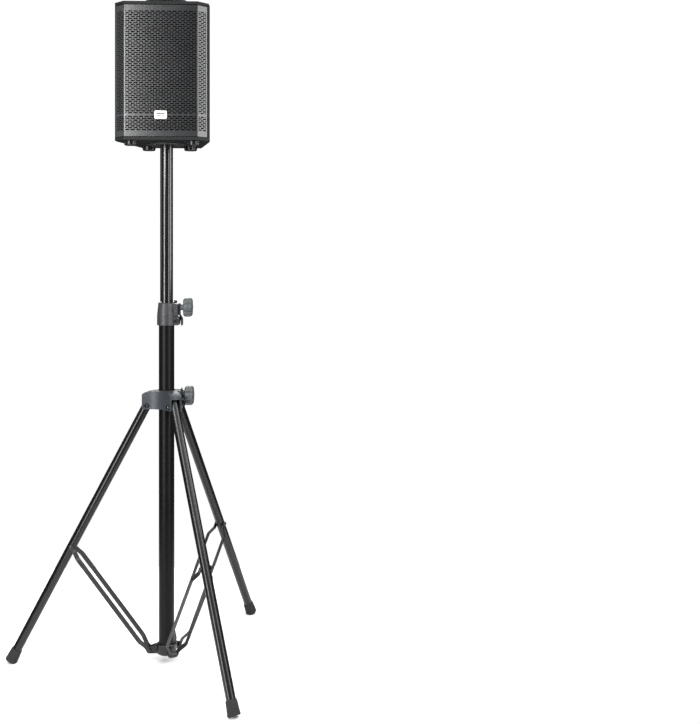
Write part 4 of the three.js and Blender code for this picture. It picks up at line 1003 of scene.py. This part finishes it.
class GrilleSheet:
    """The folded sheet, laid out flat: u runs along it and v up it, both in millimetres."""

    def __init__(self, bm):
        low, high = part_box("front_grille")
        settings = cabinet_settings()
        self.bm = bm
        self.front = low.y / MM
        self.bottom = low.z / MM
        self.top = high.z / MM
        self.pitch = settings.slot_pitch / MM
        self.row = settings.row_pitch / MM
        self.slot = settings.slot_height / MM
        self.web = settings.slot_web / MM
        self.reach = settings.fold_reach / MM
        self.edge = (high.x - low.x) / 2 / MM
        self.strip = GRILLE_SIDE_STRIP
        self.fold = self.edge - self.strip / math.sqrt(2)
        self.corners = {}

    def place(self, u, v):
        """Where a point of the flat sheet is once it is folded round its two front corners."""
        side = -1.0 if u < 0 else 1.0
        along = abs(u) - self.fold
        radius = self.reach / math.tan(math.radians(22.5))
        if along <= -self.reach:
            x, y = abs(u), self.front
        elif along < self.reach:
            turn = (along + self.reach) / (2 * self.reach) * math.radians(45)
            x = self.fold - self.reach + radius * math.sin(turn)
            y = self.front + radius * (1 - math.cos(turn))
        else:
            x = self.fold + along * math.sqrt(0.5)
            y = self.front + along * math.sqrt(0.5)
        return Vector((COLUMN.x + side * x * MM, y * MM, v * MM))

    def corner(self, u, v):
        """A vertex of the lattice, shared by all the faces that meet there."""
        key = (round(u, 2), round(v, 2))
        if key not in self.corners:
            self.corners[key] = self.bm.verts.new(self.place(u, v))
        return self.corners[key]

    def panel(self, left, right, low, high):
        """A plain patch between four lattice points."""
        corners = [(left, low), (right, low), (right, high), (left, high)]
        self.bm.faces.new([self.corner(u, v) for u, v in corners])

    def cell(self, left, right, low, high, split):
        """A patch with one slot in it. A split one has lattice points halfway along its edges."""
        centre, level = (left + right) / 2, (low + high) / 2
        half, tall = (right - left - self.web) / 2, self.slot / 2
        straight = max(half - tall, 0.05)
        slope = math.sqrt(0.5) * tall
        point = lambda u, v: self.bm.verts.new(self.place(centre + u, level + v))
        east = [point(straight, -tall), point(straight + slope, -slope), point(straight + tall, 0)]
        east += [point(straight + slope, slope), point(straight, tall)]
        west = [point(-straight, tall), point(-straight - slope, slope), point(-straight - tall, 0)]
        west += [point(-straight - slope, -slope), point(-straight, -tall)]
        add = self.bm.faces.new
        at = self.corner
        if split:
            under, over = point(0, -tall), point(0, tall)
            add((at(left, low), at(centre, low), under, west[4]))
            add((at(centre, low), at(right, low), east[0], under))
            add((over, east[4], at(right, high), at(centre, high)))
            add((west[0], over, at(centre, high), at(left, high)))
        else:
            add((at(left, low), at(right, low), east[0], west[4]))
            add((west[0], east[4], at(right, high), at(left, high)))
        add((at(right, low), at(right, level), east[2], east[1], east[0]))
        add((at(right, level), at(right, high), east[4], east[3], east[2]))
        add((at(left, level), at(left, low), west[4], west[3], west[2]))
        add((at(left, high), at(left, level), west[2], west[1], west[0]))

    def row_of(self, start, count, low, shifted, solid):
        """One row of a field of the given number of pitches, staggered on every other row."""
        high, level = low + self.row, low + self.row / 2
        half = self.pitch / 2
        if solid:
            for i in range(2 * count):
                left = start + i * half
                self.panel(left, left + half, low, level)
                self.panel(left, left + half, level, high)
            return
        if shifted:
            self.cell(start, start + half, low, high, False)
            for i in range(count - 1):
                left = start + half + i * self.pitch
                self.cell(left, left + self.pitch, low, high, True)
            end = start + count * self.pitch
            self.cell(end - half, end, low, high, False)
            return
        for i in range(count):
            left = start + i * self.pitch
            self.cell(left, left + self.pitch, low, high, True)

    def columns(self):
        """The lattice lines along the sheet, and the start and slot count of its fields."""
        across = int(2 * (self.fold - self.reach) / self.pitch + 0.01)
        front_start = -across * self.pitch / 2
        beside = int((self.strip - self.reach - 1.5) / self.pitch)
        side_start = self.fold + self.reach + 0.4
        side_end = side_start + beside * self.pitch
        fields = [(-side_end, beside), (front_start, across), (side_start, beside)]
        lines = []
        for start, count in fields:
            lines += [start + i * self.pitch / 2 for i in range(2 * count + 1)]
        for side in (-1, 1):
            lines += [side * (self.fold + self.reach * share) for share in (-1, -0.5, 0, 0.5, 1)]
            lines.append(side * (self.fold + self.strip))
        return sorted(lines), fields


class CABINET_OT_grille(Operator):
    """Builds the folded grille with its staggered slots, and the foam behind it"""

    bl_idname = "speaker_stand.grille"
    bl_label = "Grille"

    def execute(self, context):
        bm = bmesh.new()
        sheet = GrilleSheet(bm)
        lines, fields = sheet.columns()
        rows = int((sheet.top - sheet.bottom - GRILLE_SOLID_BANDS) / sheet.row)
        margin = (sheet.top - sheet.bottom - rows * sheet.row) / 2
        stripe = int((CABINET_LOW.z / MM + STRIPE_HEIGHT - sheet.bottom - margin) / sheet.row)
        first = sheet.bottom + margin
        for left, right in zip(lines, lines[1:]):
            for low, high in (
                (sheet.bottom, sheet.bottom + 3),
                (sheet.bottom + 3, first),
                (sheet.top - margin, sheet.top - 3),
                (sheet.top - 3, sheet.top),
            ):
                sheet.panel(left, right, low, high)
            if any(
                start - 0.01 <= left and right <= start + count * sheet.pitch + 0.01
                for start, count in fields
            ):
                continue
            for step in range(2 * rows):
                low = first + step * sheet.row / 2
                sheet.panel(left, right, low, low + sheet.row / 2)
        for row in range(rows):
            for start, count in fields:
                sheet.row_of(start, count, first + row * sheet.row, row % 2 == 1, row == stripe)
        bmesh.ops.remove_doubles(bm, verts=bm.verts, dist=0.002 * MM)
        bmesh.ops.recalc_face_normals(bm, faces=bm.faces)
        if sum(face.normal.y for face in bm.faces) > 0:
            bmesh.ops.reverse_faces(bm, faces=bm.faces)
        thickness = cabinet_settings().sheet_thickness
        self.make_sheet(bm, thickness)
        self.add_foam(sheet, thickness / MM)
        return {"FINISHED"}

    def make_sheet(self, bm, thickness):
        mesh = bpy.data.meshes.new("front_grille_perforated")
        bm.to_mesh(mesh)
        bm.free()
        mesh.materials.append(FINISH["grille"])
        piece = bpy.data.objects.new("front_grille_perforated", mesh)
        bpy.context.scene.collection.objects.link(piece)
        solid = piece.modifiers.new("sheet", "SOLIDIFY")
        solid.thickness = thickness
        solid.offset = -1.0
        apply_modifiers(piece, 30)
        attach(piece, "speaker")
        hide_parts("front_grille")

    def add_foam(self, sheet, thickness):
        """A sheet of foam that follows the fold just behind the steel."""
        bm = bmesh.new()
        reach = sheet.fold + FOAM_SIDE_STRIP
        columns = [-reach + i for i in range(0, int(2 * reach) + 1, 4)]
        rows = 60
        skins = []
        for depth in (thickness + FOAM_GAP, thickness + FOAM_GAP + FOAM_THICKNESS):
            grid = []
            for row in range(rows + 1):
                v = sheet.bottom + 4 + (sheet.top - sheet.bottom - 8) * row / rows
                line = []
                for u in columns:
                    here, ahead = sheet.place(u, v), sheet.place(u + 0.5, v)
                    inward = (ahead - here).cross(UP).normalized() * -depth * MM
                    line.append(bm.verts.new(here + inward))
                grid.append(line)
            skins.append(grid)
        front, back = skins
        width = len(front[0])
        for a in range(rows):
            for b in range(width - 1):
                bm.faces.new((front[a][b], front[a][b + 1], front[a + 1][b + 1], front[a + 1][b]))
                bm.faces.new((back[a][b], back[a + 1][b], back[a + 1][b + 1], back[a][b + 1]))
        for b in range(width - 1):
            bm.faces.new((front[0][b], back[0][b], back[0][b + 1], front[0][b + 1]))
            bm.faces.new((front[rows][b], front[rows][b + 1], back[rows][b + 1], back[rows][b]))
        for a in range(rows):
            bm.faces.new((front[a][0], front[a + 1][0], back[a + 1][0], back[a][0]))
            bm.faces.new((front[a][-1], back[a][-1], back[a + 1][-1], front[a + 1][-1]))
        make_piece("grille_foam", bm, "foam", "speaker")


class CABINET_OT_badge(Operator):
    """Builds the plain white plate on the grille, with two generic bars on it"""

    bl_idname = "speaker_stand.badge"
    bl_label = "Badge"

    def execute(self, context):
        low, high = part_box("grille_badge")
        centre = (low + high) / 2
        placement = aimed((centre.x, high.y, centre.z), (0, -1, 0), UP)
        half_width, half_height = (high.x - low.x) / 2 / MM, (high.z - low.z) / 2 / MM
        bm = bmesh.new()
        prism(bm, rounded_outline(half_height, half_width, 4.0), 0.0, 1.3, placement)
        node = "grille_badge"
        make_piece(node + "_plate", bm, "badge", "speaker", [node], bevel=0.5)
        bm = bmesh.new()
        for height, wide, tall in ((2.6, 11.0, 1.6), (-2.2, 11.0, 0.8)):
            bar = [(x + height, y) for x, y in rounded_outline(tall, wide, 0.7, 4)]
            prism(bm, bar, 1.2, 1.5, placement)
        make_piece("grille_badge_bars", bm, "badge_bar", "speaker", bevel=0.1)
        return {"FINISHED"}


class CABINET_OT_drivers(Operator):
    """Finishes the woofer, the horn and what is behind them"""

    bl_idname = "speaker_stand.drivers"
    bl_label = "Drivers"

    def execute(self, context):
        dress("woofer_basket", "frame", 0.6)
        dress("woofer_surround", "rubber", 0.3, 2, 60.0)
        dress("woofer_cone", "paper", 0.2, 2, 60.0)
        dress("woofer_dust_cap", "paper", 0.2, 2, 60.0)
        dress("woofer_magnet", "ferrite", 0.8)
        dress("horn_flare", "plastic", 0.8)
        dress("horn_driver", "ferrite", 0.8)
        dress("crossover_board", "circuit", 0.5)
        return {"FINISHED"}


class CABINET_OT_underside(Operator):
    """Builds the four rubber feet and the pole socket's flange with its screws"""

    bl_idname = "speaker_stand.underside"
    bl_label = "Feet and pole socket"

    def execute(self, context):
        for side in ("left", "right"):
            for end in ("front", "rear"):
                self.add_foot(f"cabinet_foot_{end}_{side}")
        dress("pole_socket", "frame", 0.9, 3)
        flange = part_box("pole_socket")[0].z
        bm = bmesh.new()
        for azimuth in (45, 135, 225, 315):
            turn = math.radians(azimuth)
            outward = Vector((math.cos(turn), math.sin(turn), 0))
            spot = CABINET_BASE + outward * FLANGE_SCREW_CIRCLE * MM
            pan_head(bm, aimed((spot.x, spot.y, flange), (0, 0, -1)), 4.2, 2.2)
        make_piece("pole_socket_screws", bm, "dark_zinc", "speaker")
        return {"FINISHED"}

    def add_foot(self, node):
        low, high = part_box(node)
        centre = (low + high) / 2
        placement = aimed((centre.x, centre.y, high.z), (0, 0, -1))
        rings = [(0, 0), (18.2, 0), (19.0, 0.6), (18.9, 2.4), (18.2, 3.2), (17.9, 8.6)]
        rings += [(17.2, 10.6), (15.8, 11.5), (14.0, 11.7), (9.4, 11.7), (8.2, 11.3)]
        rings += [(7.7, 10.4), (7.4, 5.2), (0, 5.0)]
        bm = bmesh.new()
        spin(bm, rings, placement, 56)
        make_piece(node + "_turned", bm, "foot", "speaker", [node])
        bm = bmesh.new()
        washer = [(0, 5.05), (6.6, 5.05), (6.6, 5.9), (6.2, 6.1), (0, 6.1)]
        spin(bm, washer, placement, 40)
        pan_head(bm, placement @ Matrix.Translation((0, 0, 6.0 * MM)), 4.4, 2.4)
        make_piece(node + "_screw", bm, "zinc", "speaker")


class CABINET_OT_back_panel(Operator):
    """Finishes the connector plate and its sockets, and adds the plate's screws"""

    bl_idname = "speaker_stand.back_panel"
    bl_label = "Back panel"

    def execute(self, context):
        dress("connector_plate", "plastic", 0.7)
        dress("input_socket", "plastic", 0.4)
        dress("link_socket", "plastic", 0.4)
        low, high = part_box("connector_plate")
        centre = (low + high) / 2
        bm = bmesh.new()
        for x in (-PLATE_SCREWS_X, PLATE_SCREWS_X):
            for z in (-PLATE_SCREWS_Z, PLATE_SCREWS_Z):
                spot = (centre.x + x * MM, high.y - 0.05 * MM, centre.z + z * MM)
                pan_head(bm, aimed(spot, (0, 1, 0)), 3.6, 2.0)
        make_piece("connector_plate_screws", bm, "dark_zinc", "speaker")
        return {"FINISHED"}


class CABINET_OT_handle(Operator):
    """Finishes the carry handle"""

    bl_idname = "speaker_stand.handle"
    bl_label = "Handle"

    def execute(self, context):
        dress("carry_handle", "plastic", 2.4, 3, 40.0)
        return {"FINISHED"}


PARTS = (
    STAND_OT_stage,
    STAND_OT_tubes,
    STAND_OT_height_clamp,
    STAND_OT_knobs,
    STAND_OT_leg_collar,
    STAND_OT_legs,
    STAND_OT_braces,
    CABINET_OT_shell,
    CABINET_OT_grille,
    CABINET_OT_badge,
    CABINET_OT_drivers,
    CABINET_OT_underside,
    CABINET_OT_back_panel,
    CABINET_OT_handle,
)


class VIEW3D_PT_speaker_stand(Panel):
    """Lists the settings and the steps in the order they are built"""

    bl_label = "Speaker stand"
    bl_idname = "VIEW3D_PT_speaker_stand"
    bl_space_type = "VIEW_3D"
    bl_region_type = "UI"
    bl_category = "Speaker stand"

    def draw(self, context):
        layout = self.layout
        for settings in (context.scene.stand_settings, context.scene.cabinet_settings):
            box = layout.box()
            for name in settings.bl_rna.properties.keys():
                if name not in ("rna_type", "name"):
                    box.prop(settings, name)
        for part in PARTS:
            layout.operator(part.bl_idname)


def register():
    for group in (StandSettings, CabinetSettings, *PARTS, VIEW3D_PT_speaker_stand):
        bpy.utils.register_class(group)
    bpy.types.Scene.stand_settings = PointerProperty(type=StandSettings)
    bpy.types.Scene.cabinet_settings = PointerProperty(type=CabinetSettings)


def unregister():
    del bpy.types.Scene.cabinet_settings
    del bpy.types.Scene.stand_settings
    for group in reversed((StandSettings, CabinetSettings, *PARTS, VIEW3D_PT_speaker_stand)):
        bpy.utils.unregister_class(group)


def main():
    register()
    make_finishes()
    for part in PARTS:
        family, step = part.bl_idname.split(".")
        getattr(getattr(bpy.ops, family), step)()


if __name__ == "__main__":
    main()
